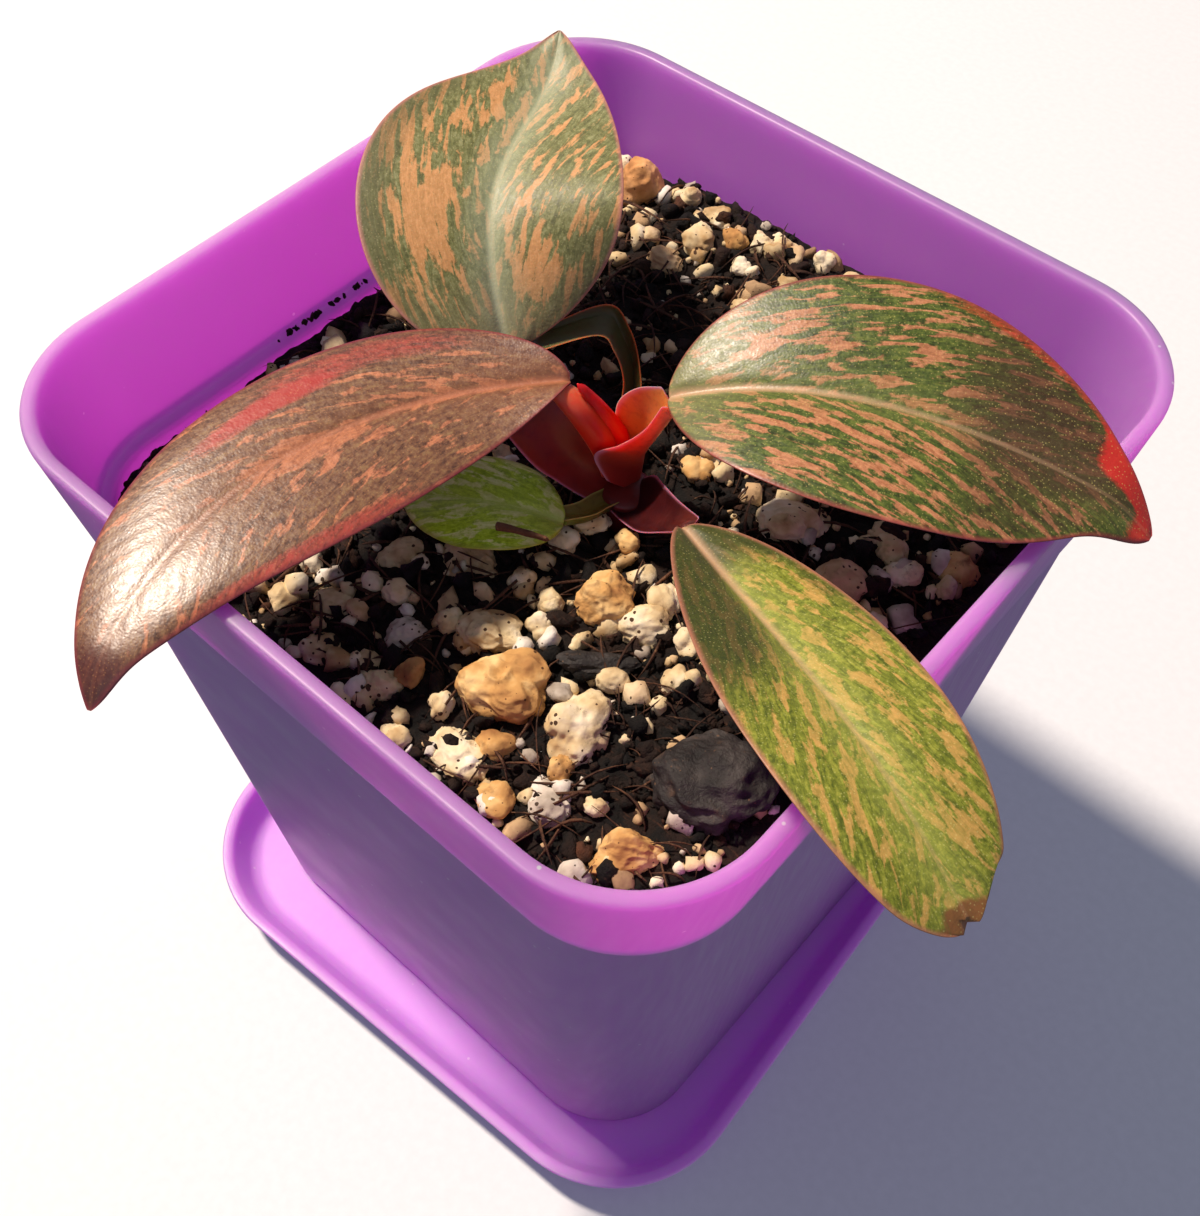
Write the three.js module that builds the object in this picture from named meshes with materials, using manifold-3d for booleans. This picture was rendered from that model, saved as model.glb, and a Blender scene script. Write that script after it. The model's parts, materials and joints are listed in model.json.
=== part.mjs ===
// Potted orange princess philodendron: a young plant in a square plastic nursery pot on its saucer.
// Millimetres, +Z up. The origin is the middle of the saucer's resting face, under the pot's axis.
// The pot's corner at +X -Y points to the viewer, and its sides are parallel to X and Y.
import * as THREE from 'three';
import { mergeVertices } from 'three/addons/utils/BufferGeometryUtils.js';
import Module from 'manifold-3d';

const wasm = await Module();
wasm.setup();

// Driving dimensions
const gap = 0.3;

// A 7 cm nursery pot, 75 mm tall, standing in a 68 mm saucer.
const pot = {
  rimHalf: 35.0,
  rimRadius: 11.6,
  top: 77.0,
  wall: 1.3,
  collarDrop: 12.0,
  collarHalf: 33.4,
  collarRadius: 10.6,
  step: 0.8,
  baseHalf: 28.3,
  baseRadius: 10.0,
  floor: 1.5,
  drainRadius: 3.0,
  drainOffset: 15.0,
};

const saucer = {
  lipHalf: 33.9,
  lipRadius: 13.9,
  lipHeight: 5.7,
  floorHalf: 31.0,
  floorRadius: 11.2,
  footHalf: 29.6,
  floor: 1.8,
  wall: 1.1,
  turnDegrees: 3.3,
  shiftY: -1.85,
};

const soil = {
  level: 65.0,
  slopeX: 0.03,
  slopeY: 0.04,
  backRise: 2.2,
  crumb: 0.8,
  smallGrains: 72,
  stemHoleRadius: 2.9,
  dipRadius: 5.6,
  dipDepth: 2.0,
};

const blade = { thickness: 0.7, lengthSteps: 14, halfSteps: 3 };

// Each blade: the four points of its midrib's curve, its greatest half width, the two exponents of its
// outline, the outline's correction on the left and right half, and from base to tip the fold of its
// halves, their curl, and its roll in degrees.
const blades = {
  leaf_left: {
    midrib: [[-1.5, -2.3, 77.3], [-11.8, -14.7, 77.4], [-12.3, -31.2, 81.6], [-6.2, -44.8, 75.9]],
    halfWidth: 8.2, baseFullness: 0.72, tipFullness: 0.88,
    right: [-0.001, 0.072], left: [-0.035, -0.027],
    fold: [0.16, 0.04], curl: [-0.11, -0.14], roll: [10, -2], colour: 0x7a4a34,
  },
  leaf_right: {
    midrib: [[6.3, 0.4, 78.0], [16.0, 6.5, 83.2], [26.5, 12.1, 79.8], [38.6, 13.5, 78.5]],
    halfWidth: 10.6, baseFullness: 0.66, tipFullness: 0.78,
    right: [-0.007, 0.039], left: [-0.013, -0.004],
    fold: [0.35, 0.12], curl: [-0.1, -0.12], roll: [-9, -8], colour: 0x7d7a3a,
  },
  leaf_back: {
    midrib: [[-8.4, -1.9, 74.9], [-18.3, 2.9, 88.1], [-18.0, 12.8, 80.2], [-22.6, 20.0, 86.3]],
    halfWidth: 10.7, baseFullness: 0.55, tipFullness: 0.92,
    right: [-0.059, 0.007], left: [-0.046, -0.01],
    fold: [0.2, 0.3], curl: [0.0, -0.1], roll: [-3, -4], colour: 0x98926a,
  },
  leaf_front: {
    midrib: [[13.2, -6.0, 74.3], [27.1, -11.4, 76.2], [35.9, -17.4, 86.0], [47.1, -20.7, 78.1]],
    halfWidth: 6.7, baseFullness: 0.61, tipFullness: 0.47,
    right: [-0.032, -0.062], left: [-0.029, 0.018],
    fold: [0.5, 0.08], curl: [-0.15, -0.08], roll: [8, 8], colour: 0x8f9540,
  },
  leaf_old_small: {
    midrib: [[2.9, -7.6, 67.5], [-0.3, -9.5, 69.0], [-4.6, -12.1, 69.0], [-8.3, -14.4, 67.7]],
    halfWidth: 4.7, baseFullness: 0.55, tipFullness: 0.6,
    right: [0, 0], left: [0, 0],
    fold: [0.15, 0.15], curl: [-0.1, -0.2], roll: [2, 2], colour: 0x93b32c,
  },
};

// Winged leaf stalks that leave the crown. Each is a channel given by three lines from its foot to its
// top: one rim, the keel and the other rim.
const stalkThickness = 0.9;
const stalks = [
  {
    left: [[3.6, -3.4, 66.3], [2.0, -4.8, 67.8], [0.8, -6.3, 70.0], [-0.2, -7.9, 72.6], [-1.6, -8.6, 75.2]],
    keel: [[2.7, -1.6, 66.0], [1.5, -2.8, 67.6], [0.3, -3.7, 69.6], [-0.8, -4.8, 72.0], [-1.8, -5.9, 75.0]],
    right: [[2.4, -1.3, 67.2], [2.0, -2.0, 69.2], [1.5, -2.7, 71.4], [0.6, -3.6, 73.6], [-0.9, -4.3, 75.9]],
  },
  {
    left: [[2.2, -2.1, 67.5], [2.1, -3.2, 71.2], [1.6, -3.7, 73.2], [0.8, -4.2, 74.8], [-1.2, -4.4, 76.4]],
    keel: [[2.3, -1.1, 67.5], [2.6, -2.2, 71.6], [2.3, -2.9, 73.9], [1.3, -3.4, 75.4], [-0.9, -3.7, 76.7]],
    right: [[2.5, -0.1, 67.5], [2.8, -1.0, 71.4], [2.4, -1.5, 73.6], [1.3, -2.0, 75.2], [-0.9, -2.7, 76.7]],
  },
  {
    left: [[2.2, -0.3, 67.6], [1.8, -0.3, 72.0], [2.2, -0.5, 75.4], [3.3, 0.4, 77.0], [5.2, 1.4, 77.7]],
    keel: [[3.9, -0.2, 66.2], [3.6, 0.5, 68.4], [4.0, 0.5, 70.8], [5.0, 0.6, 73.4], [6.5, 0.8, 76.7]],
    right: [[1.4, -1.9, 68.0], [1.9, -2.5, 71.0], [3.8, -2.4, 73.2], [5.2, -2.1, 74.9], [6.2, -0.2, 77.4]],
  },
  {
    left: [[3.5, -3.3, 66.4], [5.8, -4.0, 66.9], [8.1, -4.6, 68.0], [10.5, -4.9, 70.2], [12.8, -5.7, 73.0]],
    keel: [[3.6, -1.2, 65.8], [5.6, -1.7, 66.4], [7.7, -2.5, 67.6], [10.5, -3.6, 70.2], [13.2, -4.8, 73.0]],
    right: [[4.2, 0.6, 67.0], [5.8, 0.1, 69.0], [7.6, -1.0, 70.2], [10.5, -2.7, 72.0], [13.8, -4.3, 74.0]],
  },
  {
    left: [
      [2.1, 0.3, 66.6], [0.2, 4.7, 69.0], [-1.3, 6.4, 71.6],
      [-3.3, 7.3, 74.2], [-5.8, 7.1, 75.4], [-8.6, 1.0, 74.8],
    ],
    keel: [
      [2.3, -0.4, 66.2], [-0.6, 4.4, 68.0], [-2.1, 6.3, 70.4],
      [-3.8, 6.9, 72.8], [-5.7, 6.4, 74.2], [-8.1, 0.4, 74.2],
    ],
    right: [
      [1.4, -0.3, 66.6], [-0.9, 3.4, 69.0], [-1.6, 4.6, 71.4],
      [-2.8, 4.8, 73.6], [-4.3, 4.3, 74.8], [-6.9, -0.8, 74.8],
    ],
  },
  {
    left: [[2.6, -2.2, 67.0], [2.4, -3.8, 67.4], [2.2, -5.4, 67.6], [1.4, -7.2, 68.0]],
    keel: [[3.6, -2.2, 66.2], [3.4, -3.8, 66.4], [3.2, -5.4, 66.7], [2.2, -7.4, 67.2]],
    right: [[4.6, -2.2, 67.0], [4.3, -3.8, 67.3], [4.0, -5.4, 67.5], [3.0, -7.6, 68.0]],
  },
];

const crown = { x: 3.9, y: -1.1, foot: 56.0, top: 68.5, footRadius: 2.3, topRadius: 2.5 };
const spike = {
  path: [[2.9, -0.2, 68.0], [3.2, -1.0, 72.2], [2.6, -1.8, 75.4], [1.6, -2.6, 77.2], [0.6, -3.6, 78.4]],
  radius: [1.5, 0.3],
};
const barkSliver = {
  path: [[0.5, -12.7, 69.9], [2.3, -11.8, 69.9], [4.2, -10.7, 69.4]],
  radius: [0.5, 0.35],
};

// The stones that show: name, centre x and y, length, width and height, turn in degrees, how far the centre
// stands above the soil, and colour.
const cream = 0xe9dcc0;
const ochre = 0xd9ab6c;
const char = 0x35353a;
const tan = 0xc9ac85;
const paleTan = 0xd8b78e;
const amber = 0xcf9660;
const umber = 0x8f7a6c;
const ash = 0xb9b9bd;
const rust = 0xb87850;
const stones = [
  ['ochre_block', 9.1, -21.6, 7.4, 6.0, 5.4, 20, 1.2, ochre],
  ['pumice_speckled', 9.9, -27.2, 5.8, 4.2, 3.6, -10, 0.1, cream],
  ['pumice_knobbly', 15.6, -20.0, 4.6, 6.4, 4.4, 10, 0.6, cream],
  ['ochre_crag', 9.6, -10.4, 4.8, 4.6, 4.2, 30, 0.8, ochre],
  ['pumice_beside_crag', 13.2, -9.6, 4.2, 4.0, 3.6, 60, 0.4, cream],
  ['pumice_cluster', 4.2, -18.4, 6.0, 4.2, 3.6, 15, 0.6, cream],
  ['charcoal_flake', 13.0, -14.9, 6.6, 2.4, 2.2, 36, 0.4, char],
  ['charcoal_lump', 26.0, -17.0, 9.8, 8.4, 6.4, 30, 0.8, char],
  ['pumice_grey', 18.3, -26.0, 4.2, 3.6, 3.4, 0, 0.1, cream],
  ['ochre_front_corner', 25.2, -25.2, 5.6, 3.8, 4.0, 45, 0.5, ochre],
  ['pumice_front_left', 1.4, -27.0, 3.8, 3.2, 3.0, 40, 0.1, cream],
  ['pumice_left_rim', -4.6, -27.6, 4.0, 3.2, 3.0, 0, 0.0, cream],
  ['pumice_left_row', -0.4, -22.6, 3.8, 3.4, 3.0, 70, 0.1, cream],
  ['pumice_left_pair', -7.4, -24.0, 3.8, 3.6, 3.0, 20, 0.0, cream],
  ['pumice_under_leaf', -6.6, -17.0, 4.2, 3.0, 2.8, 50, 0.1, cream],
  ['tan_round', -1.6, -13.6, 5.6, 4.8, 3.6, 10, -0.4, tan],
  ['pumice_large_right', 15.6, 5.3, 6.8, 5.0, 4.6, 35, 0.6, cream],
  ['tan_pebble', 22.4, 3.4, 4.4, 4.0, 4.0, 0, 0.6, paleTan],
  ['pumice_right', 23.6, 8.4, 3.4, 3.2, 3.0, 0, 0.2, cream],
  ['ochre_right_wall', 28.8, 10.0, 3.4, 3.0, 3.0, 20, 0.2, ochre],
  ['amber_upright', -19.5, 28.2, 4.4, 4.0, 6.0, 15, 1.4, amber],
  ['pumice_back_wall', -10.6, 29.0, 3.4, 3.0, 2.8, 30, 0.1, cream],
  ['pumice_back_middle', -3.4, 29.2, 3.4, 3.0, 2.8, 0, 0.1, cream],
  ['pumice_back_right', 4.6, 29.0, 3.2, 3.0, 2.8, 50, 0.0, cream],
  ['pebble_behind_leaf', -11.2, 21.8, 3.8, 3.2, 3.0, 10, 0.2, umber],
  ['pumice_beyond_crown', 6.8, 6.6, 3.4, 3.0, 2.6, 0, 0.1, ash],
  ['orange_left_corner', -27.6, -24.0, 4.6, 4.2, 3.8, 20, 0.4, rust],
  ['pumice_left_wall', -27.8, -15.8, 3.6, 3.2, 2.8, 0, 0.1, cream],
];

const colours = {
  pot: 0x8a4aa8,
  saucer: 0xb468cc,
  mix: 0x2a1f1c,
  crown: 0xb03a2c,
  spike: 0xc8141a,
  bark: 0x6a4a3a,
};

// Small tools
// A repeatable random stream between 0 and 1.
function randomStream(seed) {
  let state = seed >>> 0;
  return () => {
    state = (state + 0x6d2b79f5) >>> 0;
    let t = Math.imul(state ^ (state >>> 15), 1 | state);
    t = (t + Math.imul(t ^ (t >>> 7), 61 | t)) ^ t;
    return ((t ^ (t >>> 14)) >>> 0) / 4294967296;
  };
}

// Smooth pseudo-random waviness of a point in space, between about -1 and 1.
function waviness(x, y, z, phase) {
  const a = Math.sin(1.7 * x + 1.3 * phase) * Math.cos(1.9 * y - 0.7 * phase);
  const b = Math.sin(2.3 * y + 1.1 * z + 2.1 * phase) * Math.cos(1.6 * z - 1.2 * x + phase);
  return 0.5 * (a + b);
}

function ramp(value, low, high) {
  return THREE.MathUtils.smoothstep(value, low, high);
}

// The corners of a square with rounded corners, as a ring of points at one height.
function roundedSquare(half, radius, z, perCorner = 6) {
  const points = [];
  for (let corner = 0; corner < 4; corner += 1) {
    const start = (corner * Math.PI) / 2;
    const cx = (half - radius) * (corner === 0 || corner === 3 ? 1 : -1);
    const cy = (half - radius) * (corner < 2 ? 1 : -1);
    for (let i = 0; i <= perCorner; i += 1) {
      const angle = start + ((Math.PI / 2) * i) / perCorner;
      points.push(new THREE.Vector3(cx + radius * Math.cos(angle), cy + radius * Math.sin(angle), z));
    }
  }
  return points;
}

// A closed skin through rings of equal point counts. Each end is closed by a fan about its middle, or by
// the triangles given for a section that is not round.
function skinOfRings(rings, endFaces = null) {
  const count = rings[0].length;
  const positions = [];
  const index = [];
  for (const ring of rings) {
    for (const p of ring) positions.push(p.x, p.y, p.z);
  }
  for (let r = 0; r + 1 < rings.length; r += 1) {
    for (let i = 0; i < count; i += 1) {
      const j = (i + 1) % count;
      const a = r * count + i;
      const b = r * count + j;
      index.push(a, b, b + count, a, b + count, a + count);
    }
  }
  for (const last of [false, true]) {
    const ring = last ? rings[rings.length - 1] : rings[0];
    const offset = last ? (rings.length - 1) * count : 0;
    if (endFaces) {
      for (const [a, b, c] of endFaces) {
        if (last) index.push(offset + a, offset + b, offset + c);
        else index.push(offset + c, offset + b, offset + a);
      }
      continue;
    }
    const middle = ring.reduce((sum, p) => sum.add(p), new THREE.Vector3()).divideScalar(count);
    const hub = positions.length / 3;
    positions.push(middle.x, middle.y, middle.z);
    for (let i = 0; i < count; i += 1) {
      const a = offset + i;
      const b = offset + ((i + 1) % count);
      if (last) index.push(a, b, hub);
      else index.push(b, a, hub);
    }
  }
  const geometry = new THREE.BufferGeometry();
  geometry.setAttribute('position', new THREE.Float32BufferAttribute(positions, 3));
  geometry.setIndex(index);
  return geometry;
}

function toSolid(geometry) {
  const bare = geometry.clone();
  bare.deleteAttribute('normal');
  bare.deleteAttribute('uv');
  const merged = mergeVertices(bare, 1e-4);
  return new wasm.Manifold(new wasm.Mesh({
    numProp: 3,
    vertProperties: new Float32Array(merged.attributes.position.array),
    triVerts: new Uint32Array(merged.index.array),
  }));
}

// The largest single body of a solid, so that no loose scrap is left by a cut.
function toGeometry(solid) {
  const bodies = solid.decompose();
  bodies.sort((a, b) => b.volume() - a.volume());
  const mesh = bodies[0].getMesh();
  const geometry = new THREE.BufferGeometry();
  geometry.setAttribute('position', new THREE.Float32BufferAttribute(mesh.vertProperties, 3));
  geometry.setIndex(new THREE.BufferAttribute(new Uint32Array(mesh.triVerts), 1));
  return geometry;
}

const part = new THREE.Group();

function addPiece(name, geometry, colour, roughness) {
  const shaded = geometry.index ? geometry.toNonIndexed() : geometry;
  shaded.computeVertexNormals();
  const material = new THREE.MeshStandardMaterial({ color: colour, roughness, metalness: 0 });
  const mesh = new THREE.Mesh(shaded, material);
  mesh.name = name;
  part.add(mesh);
  return mesh;
}

// Pot and saucer
const saucerTop = saucer.floor + gap;
const potSole = saucerTop;
const potFloor = potSole + pot.floor;
const ledge = pot.top - pot.collarDrop;

// The pot's outer and inner half width at the ledge, where the collar steps out from the wall.
const wallHalfAtLedge = pot.collarHalf - pot.step;
const innerBelowLedge = wallHalfAtLedge - pot.wall;
const innerAboveLedge = pot.collarHalf - pot.wall;

function potGeometry() {
  const radiusBelow = pot.collarRadius - pot.step;
  const chamfer = 0.8;
  const roll = 0.45;
  const shell = skinOfRings([
    roundedSquare(pot.baseHalf - chamfer, pot.baseRadius - chamfer, potSole),
    roundedSquare(pot.baseHalf, pot.baseRadius, potSole + chamfer),
    roundedSquare(wallHalfAtLedge, radiusBelow, ledge - roll),
    roundedSquare(pot.collarHalf, pot.collarRadius, ledge),
    roundedSquare(pot.rimHalf, pot.rimRadius, pot.top - roll),
    roundedSquare(pot.rimHalf - roll, pot.rimRadius - roll, pot.top),
    roundedSquare(pot.rimHalf - pot.wall + roll, pot.rimRadius - pot.wall + roll, pot.top),
    roundedSquare(pot.rimHalf - pot.wall, pot.rimRadius - pot.wall, pot.top - roll),
    roundedSquare(innerAboveLedge, pot.collarRadius - pot.wall, ledge + roll),
    roundedSquare(innerBelowLedge, radiusBelow - pot.wall, ledge - roll),
    roundedSquare(pot.baseHalf - pot.wall, pot.baseRadius - pot.wall, potFloor + chamfer),
    roundedSquare(pot.baseHalf - pot.wall - chamfer, pot.baseRadius - pot.wall - chamfer, potFloor),
  ]);
  const drain = new THREE.CylinderGeometry(pot.drainRadius, pot.drainRadius, 4 * pot.floor, 16);
  drain.rotateX(Math.PI / 2);
  let body = toSolid(shell);
  const o = pot.drainOffset;
  for (const [x, y] of [[0, 0], [o, o], [-o, o], [-o, -o], [o, -o]]) {
    body = body.subtract(toSolid(drain.clone().translate(x, y, potSole)));
  }
  return toGeometry(body);
}

function saucerGeometry() {
  const roll = 0.45;
  const heel = 0.9;
  const cove = 0.6;
  const { lipHalf, lipRadius, lipHeight, floorHalf, floorRadius, wall } = saucer;
  return skinOfRings([
    roundedSquare(saucer.footHalf, floorRadius - heel, 0),
    roundedSquare(floorHalf + heel, floorRadius + heel, heel),
    roundedSquare(lipHalf - heel, lipRadius - heel, lipHeight - heel),
    roundedSquare(lipHalf, lipRadius, lipHeight - roll),
    roundedSquare(lipHalf - roll, lipRadius - roll, lipHeight),
    roundedSquare(lipHalf - wall, lipRadius - wall, lipHeight),
    roundedSquare(lipHalf - wall - roll, lipRadius - wall - roll, lipHeight - roll),
    roundedSquare(floorHalf + cove, floorRadius + cove, saucer.floor + cove),
    roundedSquare(floorHalf, floorRadius, saucer.floor),
  ]);
}

addPiece('pot', potGeometry(), colours.pot, 0.42);
const saucerPiece = addPiece('saucer', saucerGeometry(), colours.saucer, 0.42);
saucerPiece.rotation.z = THREE.MathUtils.degToRad(saucer.turnDegrees);
saucerPiece.position.y = saucer.shiftY;

// Leaves
function midribCurve(points) {
  return new THREE.CubicBezierCurve3(...points.map((p) => new THREE.Vector3(...p)));
}

// A blade is a strip across its midrib: at each step the halves reach out to the half width, fold up by a
// share of it and curl by its square. Both faces use the same grid, half the thickness to either side.
function bladeGeometry(shape, thickness = blade.thickness) {
  const curve = midribCurve(shape.midrib);
  const rows = blade.lengthSteps;
  const across = 2 * blade.halfSteps;
  const peak = shape.baseFullness / (shape.baseFullness + shape.tipFullness);
  const outline = (s) => s ** shape.baseFullness * (1 - s) ** shape.tipFullness;
  const centre = [];
  const endMargin = 0.012;
  for (let i = 0; i <= rows; i += 1) {
    const s = THREE.MathUtils.lerp(endMargin, 1 - endMargin, (1 - Math.cos((Math.PI * i) / rows)) / 2);
    const point = curve.getPointAt(s);
    const along = curve.getTangentAt(s);
    const side = new THREE.Vector3().crossVectors(along, new THREE.Vector3(0, 0, 1)).normalize();
    const roll = THREE.MathUtils.degToRad(THREE.MathUtils.lerp(...shape.roll, s));
    side.applyAxisAngle(along, -roll);
    const up = new THREE.Vector3().crossVectors(side, along);
    const fold = THREE.MathUtils.lerp(...shape.fold, s);
    const curl = THREE.MathUtils.lerp(...shape.curl, s);
    const row = [];
    for (let j = 0; j <= across; j += 1) {
      const v = (2 * j) / across - 1;
      const [first, second] = v > 0 ? shape.right : shape.left;
      const correction = 1 + first * Math.cos(Math.PI * s) + second * Math.cos(2 * Math.PI * s);
      const width = (shape.halfWidth * correction * outline(s)) / outline(peak);
      const rise = width * (fold * Math.abs(v) + curl * v * v);
      row.push(point.clone().addScaledVector(side, v * width).addScaledVector(up, rise));
    }
    centre.push(row);
  }
  return slab(centre, thickness);
}

// A closed plate around a grid of points, half the thickness to either side along the grid's normals.
function slab(grid, thickness) {
  const rows = grid.length;
  const columns = grid[0].length;
  const positions = [];
  const index = [];
  for (const face of [1, -1]) {
    for (let i = 0; i < rows; i += 1) {
      const before = grid[Math.max(i - 1, 0)];
      const after = grid[Math.min(i + 1, rows - 1)];
      for (let j = 0; j < columns; j += 1) {
        const along = new THREE.Vector3().subVectors(after[j], before[j]);
        const right = grid[i][Math.min(j + 1, columns - 1)];
        const over = new THREE.Vector3().subVectors(right, grid[i][Math.max(j - 1, 0)]);
        const normal = new THREE.Vector3().crossVectors(over, along).normalize();
        const p = grid[i][j].clone().addScaledVector(normal, (face * thickness) / 2);
        positions.push(p.x, p.y, p.z);
      }
    }
  }
  const under = rows * columns;
  for (let i = 0; i + 1 < rows; i += 1) {
    for (let j = 0; j + 1 < columns; j += 1) {
      const a = i * columns + j;
      const b = a + 1;
      const c = a + columns;
      const d = c + 1;
      index.push(a, b, d, a, d, c);
      index.push(under + a, under + d, under + b, under + a, under + c, under + d);
    }
  }
  const rim = [];
  for (let j = 0; j < columns; j += 1) rim.push(j);
  for (let i = 1; i < rows; i += 1) rim.push(i * columns + columns - 1);
  for (let j = columns - 2; j >= 0; j -= 1) rim.push((rows - 1) * columns + j);
  for (let i = rows - 2; i > 0; i -= 1) rim.push(i * columns);
  for (let k = 0; k < rim.length; k += 1) {
    const a = rim[k];
    const b = rim[(k + 1) % rim.length];
    index.push(a, under + a, under + b, a, under + b, b);
  }
  const geometry = new THREE.BufferGeometry();
  geometry.setAttribute('position', new THREE.Float32BufferAttribute(positions, 3));
  geometry.setIndex(index);
  return geometry;
}

const bladeSpace = [];
for (const [name, shape] of Object.entries(blades)) {
  addPiece(name, bladeGeometry(shape), shape.colour, 0.4);
  bladeSpace.push(toSolid(bladeGeometry(shape, blade.thickness + 2 * gap)));
}

// Crown, stalks and new leaf
// Rings of a section carried along a path. The section lists points across (x) and towards the opening (y).
function sweep(path, section, open) {
  const curve = new THREE.CatmullRomCurve3(path.map((p) => new THREE.Vector3(...p)));
  const steps = 6;
  const rings = [];
  for (let i = 0; i <= steps; i += 1) {
    const t = i / steps;
    const along = curve.getTangentAt(t);
    const across = new THREE.Vector3().crossVectors(open, along).normalize();
    const out = new THREE.Vector3().crossVectors(along, across);
    const centre = curve.getPointAt(t);
    const place = ([x, y]) => centre.clone().addScaledVector(across, x).addScaledVector(out, y);
    rings.push(section(t).map(place));
  }
  const outline = section(0).map(([x, y]) => new THREE.Vector2(x, y));
  return skinOfRings(rings, THREE.ShapeUtils.triangulateShape(outline, []));
}

function roundSection(radii, sides = 10, grow = 0) {
  return (t) => {
    const r = THREE.MathUtils.lerp(...radii, t) + grow;
    return Array.from({ length: sides }, (_, i) => {
      const angle = (2 * Math.PI * i) / sides;
      return [r * Math.cos(angle), r * Math.sin(angle)];
    });
  };
}

// A winged stalk: across it, each row is the parabola through one rim, the keel and the other rim.
function stalkGeometry({ left, keel, right }, thickness) {
  const toCurve = (points) => new THREE.CatmullRomCurve3(points.map((p) => new THREE.Vector3(...p)));
  const lines = [left, keel, right].map(toCurve);
  const rows = 8;
  const across = 6;
  const grid = [];
  for (let i = 0; i <= rows; i += 1) {
    const [first, middle, last] = lines.map((line) => line.getPoint(i / rows));
    const row = [];
    for (let j = 0; j <= across; j += 1) {
      const v = (2 * j) / across - 1;
      const point = middle.clone().multiplyScalar(1 - v * v);
      row.push(point.addScaledVector(first, (v * v - v) / 2).addScaledVector(last, (v * v + v) / 2));
    }
    grid.push(row);
  }
  return slab(grid, thickness);
}

const straightUp = new THREE.Vector3(0, 1, 0);

function crownSolid() {
  const stem = new THREE.CylinderGeometry(crown.topRadius, crown.footRadius, crown.top - crown.foot, 14);
  stem.rotateX(Math.PI / 2).translate(crown.x, crown.y, (crown.top + crown.foot) / 2);
  let body = toSolid(stem);
  for (const stalk of stalks) body = body.add(toSolid(stalkGeometry(stalk, stalkThickness)));
  body = body.subtract(toSolid(sweep(spike.path, roundSection(spike.radius, 10, gap), straightUp)));
  for (const space of bladeSpace) body = body.subtract(space);
  return body;
}

addPiece('crown_and_stalks', toGeometry(crownSolid()), colours.crown, 0.45);
addPiece('new_leaf_spike', sweep(spike.path, roundSection(spike.radius), straightUp), colours.spike, 0.4);

// Potting mix and stones
// Height of the mix: a gentle slope, higher along the back right wall, with crumbs of a few millimetres.
function mixLevel(x, y) {
  const rise = soil.backRise * ramp(y, 8, 30) * ramp(x, -32, -8);
  return soil.level + soil.slopeX * x + soil.slopeY * y + rise;
}

function mixGeometry() {
  const ringCount = 16;
  const perCorner = 8;
  const reach = innerBelowLedge - gap - 0.1;
  const cornerRadius = pot.baseRadius - pot.wall - 0.5;
  const foot = potFloor + gap;
  const footHalf = pot.baseHalf - pot.wall - 1.2;
  const shoulder = 0.9;
  const overLedge = 0.02;
  const edge = (half, z) => roundedSquare(half, Math.max(0.2, cornerRadius * (half / reach)), z, perCorner);
  const lower = (p) => p.setZ(Math.min(p.z, mixLevel(p.x, p.y) - shoulder));
  const rings = [edge(footHalf, foot), edge(reach, ledge - shoulder).map(lower)];
  for (let r = 0; r < ringCount; r += 1) {
    rings.push(edge(reach * (1 - r / ringCount), 0).map((p) => {
      const level = mixLevel(p.x, p.y);
      const spread = r === 0 ? 1 + overLedge * ramp(level, ledge + 0.7, ledge + 1.5) : 1;
      const coarse = waviness(0.6 * p.x, 0.6 * p.y, 0, 3);
      const fine = waviness(1.7 * p.x, 1.7 * p.y, 0, 7);
      const bump = r === 0 ? 0 : soil.crumb * (coarse + 0.5 * fine);
      return new THREE.Vector3(p.x * spread, p.y * spread, level + bump);
    }));
  }
  return skinOfRings(rings);
}

// A stone is a ball of triangles pushed in and out by the waviness, then stretched, turned and set down.
function stoneGeometry([, x, y, length, width, height, turn, lift], seed, grow = 0) {
  const large = 6.7;
  const stone = new THREE.IcosahedronGeometry(1, Math.max(length, width) > large ? 2 : 1);
  const position = stone.attributes.position;
  const p = new THREE.Vector3();
  for (let i = 0; i < position.count; i += 1) {
    p.fromBufferAttribute(position, i);
    p.multiplyScalar(0.93 + 0.16 * waviness(1.6 * p.x, 1.6 * p.y, 1.6 * p.z, seed));
    position.setXYZ(i, p.x, p.y, p.z);
  }
  stone.scale(length / 2 + grow, width / 2 + grow, height / 2 + grow);
  stone.rotateZ(THREE.MathUtils.degToRad(turn));
  return stone.translate(x, y, mixLevel(x, y) + lift);
}

function grainGeometry(random) {
  const grain = new THREE.IcosahedronGeometry(1, 0);
  const size = 0.7 + 1.0 * random() ** 1.5;
  grain.scale(size * (0.9 + 0.5 * random()), size * (0.8 + 0.3 * random()), size * (0.7 + 0.3 * random()));
  grain.rotateX(6 * random()).rotateZ(6 * random());
  return grain;
}

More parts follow.
